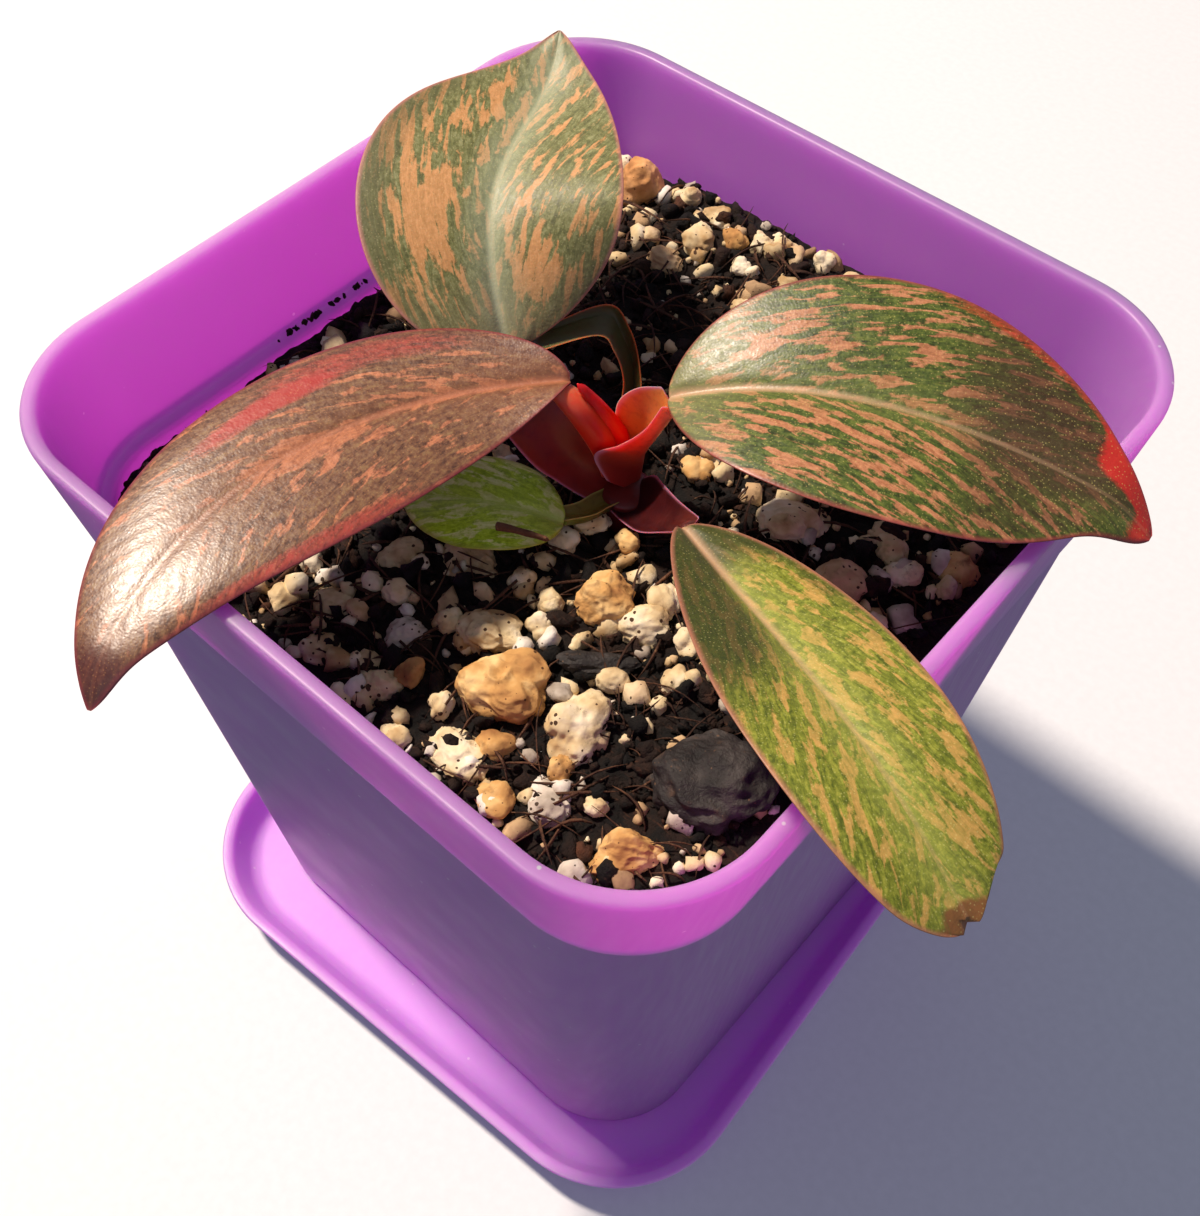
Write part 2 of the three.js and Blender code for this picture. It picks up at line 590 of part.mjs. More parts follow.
// Small grains fused to the mix: spread over its top by a seeded rule, clear of the stones, the crown and
// each other.
function addGrains(body) {
  const random = randomStream(11);
  const reach = innerBelowLedge - 3.0;
  const cornerStart = 20;
  const taken = stones.map(([, x, y, length]) => [x, y, length / 2 + 1.3]);
  taken.push([crown.x, crown.y, 5.2]);
  const [oldLeafBase, , , oldLeafTip] = blades.leaf_old_small.midrib;
  taken.push([(oldLeafBase[0] + oldLeafTip[0]) / 2, (oldLeafBase[1] + oldLeafTip[1]) / 2, 6.5]);
  let placed = 0;
  for (let attempt = 0; placed < soil.smallGrains && attempt < 4000; attempt += 1) {
    const x = reach * (2 * random() - 1);
    const y = reach * (2 * random() - 1);
    if (taken.some(([a, b, r]) => Math.hypot(x - a, y - b) < r)) continue;
    const cornerX = Math.max(Math.abs(x) - cornerStart, 0);
    const cornerY = Math.max(Math.abs(y) - cornerStart, 0);
    if (Math.hypot(cornerX, cornerY) > reach - cornerStart) continue;
    taken.push([x, y, 2.1]);
    body = body.add(toSolid(grainGeometry(random).translate(x, y, mixLevel(x, y) + 0.25)));
    placed += 1;
  }
  return body;
}

let mixBody = addGrains(toSolid(mixGeometry()));
const stemHole = new THREE.CylinderGeometry(soil.stemHoleRadius, soil.stemHoleRadius, 16, 14);
stemHole.rotateX(Math.PI / 2).translate(crown.x, crown.y, crown.foot - gap + 8);
mixBody = mixBody.subtract(toSolid(stemHole));

// The shallow dip round the crown, where the lowest stalks leave it.
const dip = new THREE.SphereGeometry(1, 12, 8).scale(soil.dipRadius, soil.dipRadius, soil.dipDepth);
mixBody = mixBody.subtract(toSolid(dip.translate(crown.x, crown.y, soil.level + 1)));
for (const stalk of stalks) {
  const space = toSolid(stalkGeometry(stalk, stalkThickness + 2 * gap));
  mixBody = mixBody.subtract(space);
}

const stoneSpace = [];
stones.forEach((stone, i) => {
  let body = toSolid(stoneGeometry(stone, i + 1));
  for (const space of stoneSpace) body = body.subtract(space);
  stoneSpace.push(toSolid(stoneGeometry(stone, i + 1, gap)));
  mixBody = mixBody.subtract(stoneSpace[i]);
  addPiece(stone[0], toGeometry(body), stone[8], 0.95);
});
addPiece('potting_mix', toGeometry(mixBody), colours.mix, 1.0);
const sliver = sweep(barkSliver.path, roundSection(barkSliver.radius, 6), straightUp);
addPiece('bark_sliver', sliver, colours.bark, 0.9);

export default part;
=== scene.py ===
# %% [markdown]
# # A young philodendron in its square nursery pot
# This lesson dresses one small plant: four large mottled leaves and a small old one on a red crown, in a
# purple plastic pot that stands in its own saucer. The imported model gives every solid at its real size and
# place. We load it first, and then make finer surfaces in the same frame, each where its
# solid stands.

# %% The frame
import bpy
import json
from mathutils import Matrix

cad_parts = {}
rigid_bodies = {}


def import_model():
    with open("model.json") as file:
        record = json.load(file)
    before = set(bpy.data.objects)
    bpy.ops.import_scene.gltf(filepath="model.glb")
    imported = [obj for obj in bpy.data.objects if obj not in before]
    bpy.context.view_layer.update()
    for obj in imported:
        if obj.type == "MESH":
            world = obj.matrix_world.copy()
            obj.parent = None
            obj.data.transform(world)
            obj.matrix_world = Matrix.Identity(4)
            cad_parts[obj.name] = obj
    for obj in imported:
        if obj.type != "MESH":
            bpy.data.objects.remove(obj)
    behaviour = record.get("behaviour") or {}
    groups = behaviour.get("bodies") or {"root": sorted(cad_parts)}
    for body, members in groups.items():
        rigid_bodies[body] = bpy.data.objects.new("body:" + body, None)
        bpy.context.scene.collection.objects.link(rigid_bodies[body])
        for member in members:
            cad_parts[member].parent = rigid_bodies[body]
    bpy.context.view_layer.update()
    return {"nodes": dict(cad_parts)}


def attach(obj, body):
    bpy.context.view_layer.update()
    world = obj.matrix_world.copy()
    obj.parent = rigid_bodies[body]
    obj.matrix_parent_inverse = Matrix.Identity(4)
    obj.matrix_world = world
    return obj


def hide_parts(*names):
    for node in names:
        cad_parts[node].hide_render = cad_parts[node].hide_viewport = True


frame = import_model()

import functools
import json
import bpy
import bmesh
import numpy as np
from mathutils import Matrix, Vector

MM = 0.001
print("solids in the frame:", len(frame["nodes"]))

# %% [markdown]
# ## Camera, floor and light
# The photograph looks steeply down past one corner of the pot. The camera's place was worked out from the
# pot's rim, base and saucer, and its lens is given in pixels of the picture, as such a solve gives it. The
# lens is shifted a little, because the picture's middle isn't quite the optical centre.

# %% The camera
CAMERA_PLACE = (52.1, -60.2, 156.8)
CAMERA_AZIMUTH, CAMERA_ELEVATION, CAMERA_ROLL = 42.198, 54.529, -0.208
PICTURE = (1200, 1216)
FOCAL_PIXELS = 1433.4
OPTICAL_CENTRE = (578.52, 609.02)
SENSOR_MM = 36.0

camera_data = bpy.data.cameras.new("camera")
camera_data.sensor_width = SENSOR_MM
camera_data.lens = FOCAL_PIXELS / max(PICTURE) * SENSOR_MM
camera_data.shift_x = (PICTURE[0] / 2 - OPTICAL_CENTRE[0]) / max(PICTURE)
camera_data.shift_y = (OPTICAL_CENTRE[1] - PICTURE[1] / 2) / max(PICTURE)
camera_data.clip_start = 0.01
camera = bpy.data.objects.new("camera", camera_data)
bpy.context.scene.collection.objects.link(camera)
camera.matrix_world = (
    Matrix.Translation(Vector(CAMERA_PLACE) * MM)
    @ Matrix.Rotation(np.radians(CAMERA_AZIMUTH), 4, "Z")
    @ Matrix.Rotation(np.radians(90 - CAMERA_ELEVATION), 4, "X")
    @ Matrix.Rotation(np.radians(CAMERA_ROLL), 4, "Z")
)
bpy.context.scene.camera = camera
bpy.context.scene.view_settings.view_transform = "Standard"
print("lens in mm:", round(camera_data.lens, 2))

# %% [markdown]
# ## Colours and nodes
# A material is a small tree of nodes. A few helpers carry the whole script: one turns an sRGB hex colour
# into the linear numbers that a socket wants, one turns the real size of a grain into a texture's scale,
# and one adds a node with its settings and links its inputs. The last two start a material and end it.

# %% Colours and nodes
def linear(hex_colour):
    """The linear red, green, blue and alpha of an sRGB hex colour, by the sRGB curve."""
    channels = np.array([int(hex_colour[i:i + 2], 16) for i in (0, 2, 4)]) / 255
    curve = np.where(channels <= 0.04045, channels / 12.92, ((channels + 0.055) / 1.055) ** 2.4)
    return (*curve.tolist(), 1.0)


def grains_of(size_mm):
    """The scale of a texture whose grains have this real size: grains per metre, as Object coordinates are metres."""
    return 1 / (size_mm * MM)


def add_node(tree, kind, inputs=None, stops=None, **settings):
    """A node: settings are its properties, inputs are values or links by socket, stops fill a colour ramp."""
    node = tree.nodes.new(kind)
    for key, value in settings.items():
        setattr(node, key, value)
    for key, value in (inputs or {}).items():
        if isinstance(value, bpy.types.NodeSocket):
            tree.links.new(value, node.inputs[key])
        else:
            node.inputs[key].default_value = value
    for extra in (stops or [])[2:]:
        node.color_ramp.elements.new(1.0)
    for i, (place, colour) in enumerate(stops or []):
        node.color_ramp.elements[i].position = place
        node.color_ramp.elements[i].color = linear(colour)
    return node


def new_material(name, **surface):
    """A named material with one shader; surface gives the shader's own uniform values, with _ for a space."""
    material = bpy.data.materials.new(name)
    material.use_nodes = True
    tree = material.node_tree
    tree.nodes.clear()
    values = {key.replace("_", " "): value for key, value in surface.items()}
    shader = add_node(tree, "ShaderNodeBsdfPrincipled", values)
    add_node(tree, "ShaderNodeOutputMaterial", {"Surface": shader.outputs["BSDF"]})
    return material, functools.partial(add_node, tree), shader


def connect(material, shader, **sources):
    """Link node outputs to the shader's sockets, with _ for a space in a socket's name."""
    for key, source in sources.items():
        material.node_tree.links.new(source, shader.inputs[key.replace("_", " ")])


print("middle grey 808080 is linear", round(linear("808080")[0], 3))
print("2 mm grains are", grains_of(2.0), "per metre")

# %% [markdown]
# ## Light
# The light is that of a small studio. The key is a soft box a metre off, small enough to throw a leaf's
# shadow with a soft edge. It stands high on the left, where the shadows in the photograph point back to, so
# that the inner walls on the right are lit and the collar glows where light comes through the plastic. A
# weak fill box stands at the right of the camera, and the sky is pale and a little blue.

# %% Soft boxes and sky
SUN_TOWARD = Vector((-0.50, -0.08, 0.862)).normalized()
SUN_DISTANCE, SUN_SIZE, SUN_WATTS = 1.0, 0.10, 16.0
FILL_TOWARD = Vector((0.45, -0.75, 0.55)).normalized()
FILL_DISTANCE, FILL_SIZE, FILL_WATTS = 1.2, 1.0, 0.8
SKY_STRENGTH = 0.28
AIM = Vector((0.0, -5.0, 60.0)) * MM


def soft_box(name, toward, distance, size, watts, colour):
    """A round area light that looks at the plant from a direction, at a distance in metres."""
    data = bpy.data.lights.new(name, "AREA")
    data.shape = "DISK"
    data.size, data.energy, data.color = size, watts, linear(colour)[:3]
    lamp = bpy.data.objects.new(name, data)
    lamp.location = AIM + toward * distance
    lamp.rotation_mode = "QUATERNION"
    lamp.rotation_quaternion = toward.to_track_quat("Z", "Y")
    bpy.context.scene.collection.objects.link(lamp)


soft_box("key_soft_box", SUN_TOWARD, SUN_DISTANCE, SUN_SIZE, SUN_WATTS, "ffeedb")
soft_box("fill_soft_box", FILL_TOWARD, FILL_DISTANCE, FILL_SIZE, FILL_WATTS, "f2f5ff")

world = bpy.data.worlds.new("studio")
world.use_nodes = True
world.node_tree.nodes.clear()
sky = add_node(world.node_tree, "ShaderNodeBackground", {"Color": linear("dfe6ff"), "Strength": SKY_STRENGTH})
add_node(world.node_tree, "ShaderNodeOutputWorld", {"Surface": sky.outputs[0]})
bpy.context.scene.world = world
print("key light", SUN_WATTS, "W, fill", FILL_WATTS, "W, sky", SKY_STRENGTH)

# %% [markdown]
# ## Floor
# The floor is matte paper, one plain pale sheet. It takes the shadows but sends no light back up, so that
# the pot's shaded walls stay as deep in colour as in the photograph.

# %% Paper floor
FLOOR_SIZE = 3.0

floor_material, node, shader = new_material("matte_paper_floor", Roughness=0.9)
coordinates = node("ShaderNodeTexCoord").outputs["Object"]
fibre = node("ShaderNodeTexNoise", {"Vector": coordinates, "Scale": grains_of(1.11), "Detail": 2.0}).outputs["Fac"]
tone = node("ShaderNodeValToRGB", {"Fac": fibre}, stops=[(0.3, "dcdfe4"), (0.7, "e0e3e8")]).outputs["Color"]
connect(floor_material, shader, Base_Color=tone)
half = FLOOR_SIZE / 2
floor_mesh = bpy.data.meshes.new("floor")
floor_mesh.from_pydata([(-half, -half, 0), (half, -half, 0), (half, half, 0), (-half, half, 0)], [], [(0, 1, 2, 3)])
floor_mesh.materials.append(floor_material)
floor = bpy.data.objects.new("floor", floor_mesh)
bpy.context.scene.collection.objects.link(floor)
floor.visible_diffuse = floor.visible_glossy = False
print("floor", FLOOR_SIZE, "m wide")

# %% [markdown]
# ## Surfaces from arrays
# Every new piece is a surface worked out by numpy: rings of points carried along a path, closed at both
# ends. One helper makes the faces between the rings, one joins surfaces, and one puts the result into a
# mesh whose object stays at the origin. Lengths are in millimetres until the last step. Modelling by hand
# would do as well, but formulas can be changed later and give the same mesh on every run.

# %% Rings, faces and pieces
def closed_skin(rings):
    """Points and faces of a skin through rings (row, column, xyz): quads between rows, a fan over each end."""
    rows, columns, _ = rings.shape
    points = np.vstack([rings.reshape(-1, 3), rings[[0, -1]].mean(axis=1)])
    row, column = np.meshgrid(np.arange(rows - 1), np.arange(columns), indexing="ij")
    a = (row * columns + column).ravel()
    b = (row * columns + (column + 1) % columns).ravel()
    rim = np.arange(columns)
    after = (rim + 1) % columns
    last, hub = (rows - 1) * columns, np.full(columns, rows * columns)
    fans = [np.stack([after, rim, hub], 1), np.stack([last + rim, last + after, hub + 1], 1)]
    return points, [np.stack([a, b, b + columns, a + columns], 1), *fans]


def joined(surfaces):
    """Several surfaces as one: the points stacked, the faces counted on from where the last surface ended."""
    points, faces, start = [], [], 0
    for some_points, some_faces in surfaces:
        points.append(some_points)
        faces += [group + start for group in some_faces]
        start += len(some_points)
    return np.vstack(points), faces


def add_piece(name, surface, material, slot, nodes=(), veins=None, **numbers):
    """A mesh object at the origin that rides on the part, with a UV map and numbers per point where given."""
    points, faces = surface
    mesh = bpy.data.meshes.new(name)
    mesh.from_pydata((points * MM).tolist(), [], [face for group in faces for face in group.tolist()])
    mesh.polygons.foreach_set("use_smooth", np.ones(len(mesh.polygons), bool))
    if veins is not None:
        corners = np.empty(len(mesh.loops), np.int32)
        mesh.loops.foreach_get("vertex_index", corners)
        mesh.uv_layers.new(name="veins").data.foreach_set("uv", veins[corners].ravel().astype(np.float32))
    for key, values in numbers.items():
        mesh.attributes.new(key, "FLOAT", "POINT").data.foreach_set("value", values.astype(np.float32))
    mesh.materials.append(material)
    piece = bpy.data.objects.new(name, mesh)
    bpy.context.scene.collection.objects.link(piece)
    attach(piece, "root")
    if nodes:
        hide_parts(*nodes)
    print(name, len(mesh.polygons), "faces")
    return piece


trial = closed_skin(np.zeros((4, 6, 3)))
print("a skin through 4 rings of 6 points has", sum(len(group) for group in trial[1]), "faces")

# %% [markdown]
# ## Noise
# Natural shapes need chance that is the same on every run. The noise below is a lattice of seeded random
# numbers, blended smoothly between its points, and `rough` adds finer and finer copies of it.

# %% Noise
def noise(points, seed):
    """Smooth noise from -1 to 1: random numbers on a unit lattice, blended by smoothstep weights between corners."""
    lattice = np.random.default_rng(seed).uniform(-1, 1, (32, 32, 32))
    cell = np.floor(points).astype(int)
    part = points - cell
    part = part * part * (3 - 2 * part)
    total = np.zeros(points.shape[:-1])
    for corner in np.ndindex(2, 2, 2):
        weight = np.prod(np.where(np.array(corner) == 1, part, 1 - part), axis=-1)
        x, y, z = np.moveaxis((cell + corner) % 32, -1, 0)
        total += weight * lattice[x, y, z]
    return total


def rough(points, size, octaves, seed):
    """Noise with lumps of one size in mm, plus copies of half the size and half the height, octave by octave."""
    layers = [noise(points / size * 2 ** k + 7.3 * k, seed + k) / 2 ** k for k in range(octaves)]
    return sum(layers) / sum(0.5 ** k for k in range(octaves))


def smooth_step(low, high, value):
    """0 below low, 1 above high, and a smooth S between them."""
    t = np.clip((value - low) / (high - low), 0, 1)
    return t * t * (3 - 2 * t)


print("noise along a line:", np.round(noise(np.array([[0.5, 0, 0], [1.5, 0, 0], [2.5, 0, 0]]), 1), 2))

# %% [markdown]
# ## The pot
# The pot is injection-moulded polypropylene, 70 mm across the rim and 75 mm tall, thin enough to let light
# through. Its wall leans outwards to a ledge 12 mm below the rim, steps out into a collar and ends in a
# small flat rim. The surface is a ring of rounded squares carried up the outside and down the inside, with
# every edge rounded.

# %% Rounded squares and rounded profiles
CORNER_STEPS, SIDE_STEPS = 24, 8


def rounded_square(half, radius):
    """Ring of points: quarter circles of the radius, joined by straight sides, counter-clockwise from +X."""
    turn = np.linspace(0, np.pi / 2, CORNER_STEPS)
    arc = radius * np.stack([np.cos(turn), np.sin(turn)], 1) + half - radius
    run = np.linspace(half - radius, radius - half, SIDE_STEPS + 2)[1:-1]
    quarter = np.vstack([arc, np.stack([run, np.full(SIDE_STEPS, half)], 1)])
    x, y = quarter.T
    return np.vstack([np.stack(pair, 1) for pair in ((x, y), (-y, x), (-x, -y), (y, -x))])


def rounded_profile(corners, steps=5, shoulder=0.5):
    """Points of a polyline (half width, height) whose inner corners, given as (half, z, fillet), become arcs."""
    points = [np.array(corners[0][:2])]
    for before, corner, after in zip(corners, corners[1:], corners[2:]):
        middle, fillet = np.array(corner[:2]), corner[2]
        back = np.array(before[:2]) - middle
        ahead = np.array(after[:2]) - middle
        reach = min(fillet, 0.45 * np.linalg.norm(back), 0.45 * np.linalg.norm(ahead))
        start = middle + back / np.linalg.norm(back) * reach
        end = middle + ahead / np.linalg.norm(ahead) * reach
        if np.linalg.norm(back) > 3 * reach + shoulder:
            points.append(start + back / np.linalg.norm(back) * shoulder)
        for t in np.linspace(0, 1, steps):
            points.append((1 - t) ** 2 * start + 2 * t * (1 - t) * middle + t ** 2 * end)
        if np.linalg.norm(ahead) > 3 * reach + shoulder:
            points.append(end + ahead / np.linalg.norm(ahead) * shoulder)
    points.append(np.array(corners[-1][:2]))
    return np.array(points)


def square_loft(profile, corner_centre):
    """Rounded squares along a profile; corner_centre gives the corner arcs' centre distance at each height."""
    rings = []
    for half_width, z in profile:
        ring = rounded_square(half_width, half_width - corner_centre(z))
        rings.append(np.column_stack([ring, np.full(len(ring), z)]))
    return np.array(rings)


print("one rounded square has", len(rounded_square(35.0, 11.6)), "points")

# %% [markdown]
# ## The pot's plastic
# Polypropylene scatters light inside its wall. Red and blue travel further in this purple than green, so
# where the sun shines through, the wall turns from purple to a hot pink. The skin is satin from the mould,
# with a fine grain, a few dust specks and faint rub marks.

# %% Moulded purple polypropylene
def purple_polypropylene(name, base, deep, glow_radius, scatter_mm):
    """Moulded polypropylene: satin, slightly translucent, with a faint cloud 56 mm wide from the way it cooled.

    Dust specks lie about 3 mm apart, rub marks are 6 mm long, and the mould's grain of 0.4 mm is drawn coarser
    than the real one, so that it shows.
    """
    material, node, shader = new_material(
        name, Roughness=0.38, IOR=1.49, Specular_IOR_Level=0.34,
        Subsurface_Weight=1.0, Subsurface_Radius=glow_radius, Subsurface_Scale=scatter_mm * MM,
    )
    place = node("ShaderNodeTexCoord").outputs["Object"]
    cloud = node("ShaderNodeTexNoise", {"Vector": place, "Scale": grains_of(55.6), "Detail": 1.0}).outputs["Fac"]
    body = node("ShaderNodeValToRGB", {"Fac": cloud}, stops=[(0.35, deep), (0.65, base)]).outputs["Color"]
    dust = node("ShaderNodeTexVoronoi", {"Vector": place, "Scale": grains_of(3.03)}).outputs["Distance"]
    speck = node("ShaderNodeMapRange", {0: dust, 1: 0.035, 2: 0.06, 3: 0.55, 4: 0.0}).outputs[0]
    colour = node("ShaderNodeMix", {0: speck, 6: body, 7: linear("e9d4ef")}, data_type="RGBA").outputs[2]
    rubs = node("ShaderNodeMapping", {"Vector": place, "Rotation": (0.3, 0.2, 0.5), "Scale": (1.0, 9.0, 1.0)})
    rub = node("ShaderNodeTexNoise", {"Vector": rubs.outputs[0], "Scale": grains_of(6.25), "Detail": 3.0})
    gloss = node("ShaderNodeMapRange", {0: rub.outputs["Fac"], 1: 0.3, 2: 0.75, 3: 0.33, 4: 0.46}).outputs[0]
    grain = node("ShaderNodeTexNoise", {"Vector": place, "Scale": grains_of(0.385), "Detail": 1.0}).outputs["Fac"]
    skin = node("ShaderNodeBump", {"Height": grain, "Strength": 0.05, "Distance": 0.05 * MM}).outputs[0]
    connect(material, shader, Base_Color=colour, Roughness=gloss, Normal=skin)
    return material


pot_plastic = purple_polypropylene("purple_polypropylene_pot", "c278d2", "bc70cc", (1.0, 0.3, 0.85), 16.0)
# painted light: the saucer is the pot's plastic in lighter colours, which paint the light falling on it
saucer_plastic = purple_polypropylene("purple_polypropylene_saucer", "d094e4", "ca8cde", (1.0, 0.35, 0.85), 4.0)
print("plastics:", pot_plastic.name, "and", saucer_plastic.name)

# %% [markdown]
# ## The shell
# The pot is one skin: it goes up the outside, over the rim and down the inside to the floor. A profile of
# half widths and heights is easier to check against the real sizes than a box that is scaled and hollowed.

# %% The pot's shell
RIM_HALF, COLLAR_HALF, WALL_HALF, BASE_HALF = 35.0, 33.4, 32.6, 28.3
POT_TOP, LEDGE, POT_SOLE, POT_FLOOR = 77.0, 65.0, 2.1, 3.6
POT_WALL = 1.3
INNER_BELOW, INNER_ABOVE = WALL_HALF - POT_WALL, COLLAR_HALF - POT_WALL
CENTRE_AT_BASE, CENTRE_AT_LEDGE, CENTRE_AT_RIM = 18.3, 22.8, 23.4


def pot_corner_centre(z):
    """Distance of the corner arcs' centres from the axis, which grows with height."""
    return np.interp(z, [POT_SOLE, LEDGE, POT_TOP], [CENTRE_AT_BASE, CENTRE_AT_LEDGE, CENTRE_AT_RIM])


pot_profile = rounded_profile([
    (BASE_HALF - 8, POT_SOLE), (BASE_HALF, POT_SOLE, 0.8),
    (WALL_HALF, LEDGE - 0.35, 0.25), (COLLAR_HALF, LEDGE, 0.3),
    (RIM_HALF, POT_TOP, 0.45), (RIM_HALF - POT_WALL, POT_TOP, 0.45),
    (INNER_ABOVE, LEDGE + 0.4, 0.3), (INNER_BELOW, LEDGE - 0.4, 0.3),
    (BASE_HALF - POT_WALL, POT_FLOOR, 0.8), (BASE_HALF - 9, POT_FLOOR),
])
pot_rings = square_loft(pot_profile, pot_corner_centre)
pot = add_piece("pot_shell", closed_skin(pot_rings), pot_plastic, "pot_plastic", ["pot"])

# %% [markdown]
# ## Drain holes
# Five round holes let water out of the base. They are plain cylinders taken away from the shell by a
# Boolean, which leaves a clean closed mesh, and then the cutter is removed.

# %% Holes in the base
DRAIN_RADIUS, DRAIN_OFFSET, DRAIN_SIDES = 3.0, 15.0, 48

drain_turn = np.linspace(0, 2 * np.pi, DRAIN_SIDES, endpoint=False)
drain_ring = DRAIN_RADIUS * np.stack([np.cos(drain_turn), np.sin(drain_turn)], 1)
drain_places = [(0, 0)] + [(x * DRAIN_OFFSET, y * DRAIN_OFFSET) for x in (-1, 1) for y in (-1, 1)]
drains = joined([
    closed_skin(np.array([
        np.column_stack([drain_ring + place, np.full(DRAIN_SIDES, z)]) for z in (POT_SOLE - 1, POT_FLOOR + 1)
    ]))
    for place in drain_places
])
cutter_mesh = bpy.data.meshes.new("drain_cutter")
cutter_mesh.from_pydata((drains[0] * MM).tolist(), [], [face for group in drains[1] for face in group.tolist()])
cutter = bpy.data.objects.new("drain_cutter", cutter_mesh)
bpy.context.scene.collection.objects.link(cutter)
cut = pot.modifiers.new("drains", "BOOLEAN")
cut.operation, cut.object, cut.solver = "DIFFERENCE", cutter, "EXACT"
bpy.context.view_layer.update()
pot.data = bpy.data.meshes.new_from_object(pot.evaluated_get(bpy.context.evaluated_depsgraph_get()))
pot.modifiers.clear()
bpy.data.objects.remove(cutter)
print("pot with", len(drain_places), "drain holes:", len(pot.data.polygons), "faces")

# %% [markdown]
# ## The saucer
# The saucer is the same plastic, in colours made lighter than the pot's to paint the light that falls on it. It is a
# low square dish with a flat floor, a sloping side and a small rounded lip, and the pot stands in it a little askew,
# as it does in the photograph.

# %% The saucer's dish
LIP_HALF, LIP_HEIGHT, DISH_FLOOR_HALF, DISH_FLOOR = 33.9, 5.7, 31.0, 1.8
DISH_FOOT_HALF, DISH_WALL, DISH_CORNER_CENTRE = 29.6, 1.1, 19.9
DISH_TURN, DISH_SHIFT_Y = 3.3, -1.85

dish_profile = rounded_profile([
    (DISH_FOOT_HALF - 9, 0.6), (DISH_FOOT_HALF - 3, 0.6, 0.3),
    (DISH_FOOT_HALF - 2.4, 0.0, 0.3), (DISH_FOOT_HALF, 0.0, 0.4),
    (DISH_FLOOR_HALF + 0.9, 0.9, 0.6), (LIP_HALF, LIP_HEIGHT - 0.5, 0.4),
    (LIP_HALF, LIP_HEIGHT, 0.4), (LIP_HALF - DISH_WALL, LIP_HEIGHT, 0.45),
    (DISH_FLOOR_HALF, DISH_FLOOR, 0.9), (DISH_FLOOR_HALF - 9, DISH_FLOOR),
])
dish_rings = square_loft(dish_profile, lambda z: DISH_CORNER_CENTRE)
turn = np.radians(DISH_TURN)
turned = np.array([[np.cos(turn), np.sin(turn), 0], [-np.sin(turn), np.cos(turn), 0], [0, 0, 1]])
dish_rings = dish_rings @ turned + np.array([0, DISH_SHIFT_Y, 0])
add_piece("saucer_dish", closed_skin(dish_rings), saucer_plastic, "saucer_plastic", ["saucer"])

# %% [markdown]
# ## The potting mix
# The mix is dark fibrous peat with bark, charcoal, pumice and baked clay. Its top is a height over the
# ground plan, so that everything else can be set down on it: a gentle slope, higher along the far wall,
# with clumps and crumbs.

# %% The lie of the mix
SOIL_LEVEL, SLOPE_X, SLOPE_Y, BACK_RISE = 65.0, 0.03, 0.04, 2.2
CROWN_PLACE, DIP_RADIUS, DIP_DEPTH = np.array([3.9, -1.1]), 6.2, 1.6


def mix_level(x, y):
    """Height of the mix without crumbs: a gentle slope, and a rise of 2.2 mm towards the far wall."""
    rise = BACK_RISE * smooth_step(8, 30, y) * smooth_step(-32, -8, x)
    return SOIL_LEVEL + SLOPE_X * x + SLOPE_Y * y + rise


def mix_height(x, y):
    """Level plus clumps of 7 mm, crumbs of 2.4 and 0.9 mm, and a dip round the crown."""
    flat = np.stack([x, y, np.zeros_like(x)], -1)
    clumps = 0.8 * rough(flat, 7.0, 2, 5) + 0.75 * np.abs(rough(flat, 2.4, 3, 21)) + 0.22 * rough(flat, 0.9, 2, 40)
    away = np.hypot(x - CROWN_PLACE[0], y - CROWN_PLACE[1]) / DIP_RADIUS
    return mix_level(x, y) + clumps - DIP_DEPTH * np.clip(1 - away ** 2, 0, 1)


for spot_name, spot in (("near corner", (25, -25)), ("far wall", (-5, 30))):
    print("mix level at the", spot_name, round(float(mix_level(*spot)), 1))

# %% [markdown]
# ## The top sheet
# A square grid is spread over the pot's rounded outline: each grid square ring keeps its direction from the
# middle and is pulled in or out to the wall. A grid that is cut at the wall would leave a ragged edge.

# %% The top of the mix
MIX_CELLS = 250
MIX_CLEARANCE = 0.05


def square_reach(direction, half, radius):
    """Distance from the middle to a rounded square's edge along unit directions: its side, or its corner's arc."""
    across, up = np.sort(np.abs(direction), axis=-1)[..., 1], np.sort(np.abs(direction), axis=-1)[..., 0]
    centre = half - radius
    side = half / across
    mean = centre * (across + up)
    arc = mean + np.sqrt(np.maximum(mean ** 2 - 2 * centre ** 2 + radius ** 2, 0))
    return np.where(side * up <= centre, side, arc)


grid = np.linspace(-1, 1, MIX_CELLS + 1)
a, b = np.meshgrid(grid, grid, indexing="xy")
spread = np.maximum(np.abs(a), np.abs(b))
direction = np.stack([a, b], -1) / np.maximum(np.hypot(a, b), 1e-9)[..., None]
edge = INNER_BELOW - MIX_CLEARANCE
edge_reach = square_reach(direction, edge, edge - CENTRE_AT_LEDGE)
x, y = np.moveaxis(direction * (spread * edge_reach)[..., None], -1, 0)
top_points = np.stack([x, y, mix_height(x, y)], -1).reshape(-1, 3)
row, column = np.meshgrid(np.arange(MIX_CELLS), np.arange(MIX_CELLS), indexing="ij")
corner = (row * (MIX_CELLS + 1) + column).ravel()
top_faces = np.stack([corner, corner + 1, corner + MIX_CELLS + 2, corner + MIX_CELLS + 1], 1)
heights = top_points[:, 2]
print("top sheet:", len(top_faces), "faces,", round(heights.min(), 1), "to", round(heights.max(), 1), "mm high")

# %% [markdown]
# ## The body below
# From the sheet's edge a skirt goes down along the wall and a flat sole closes it, so that the mix is one
# closed body like its solid and not a floating skin.

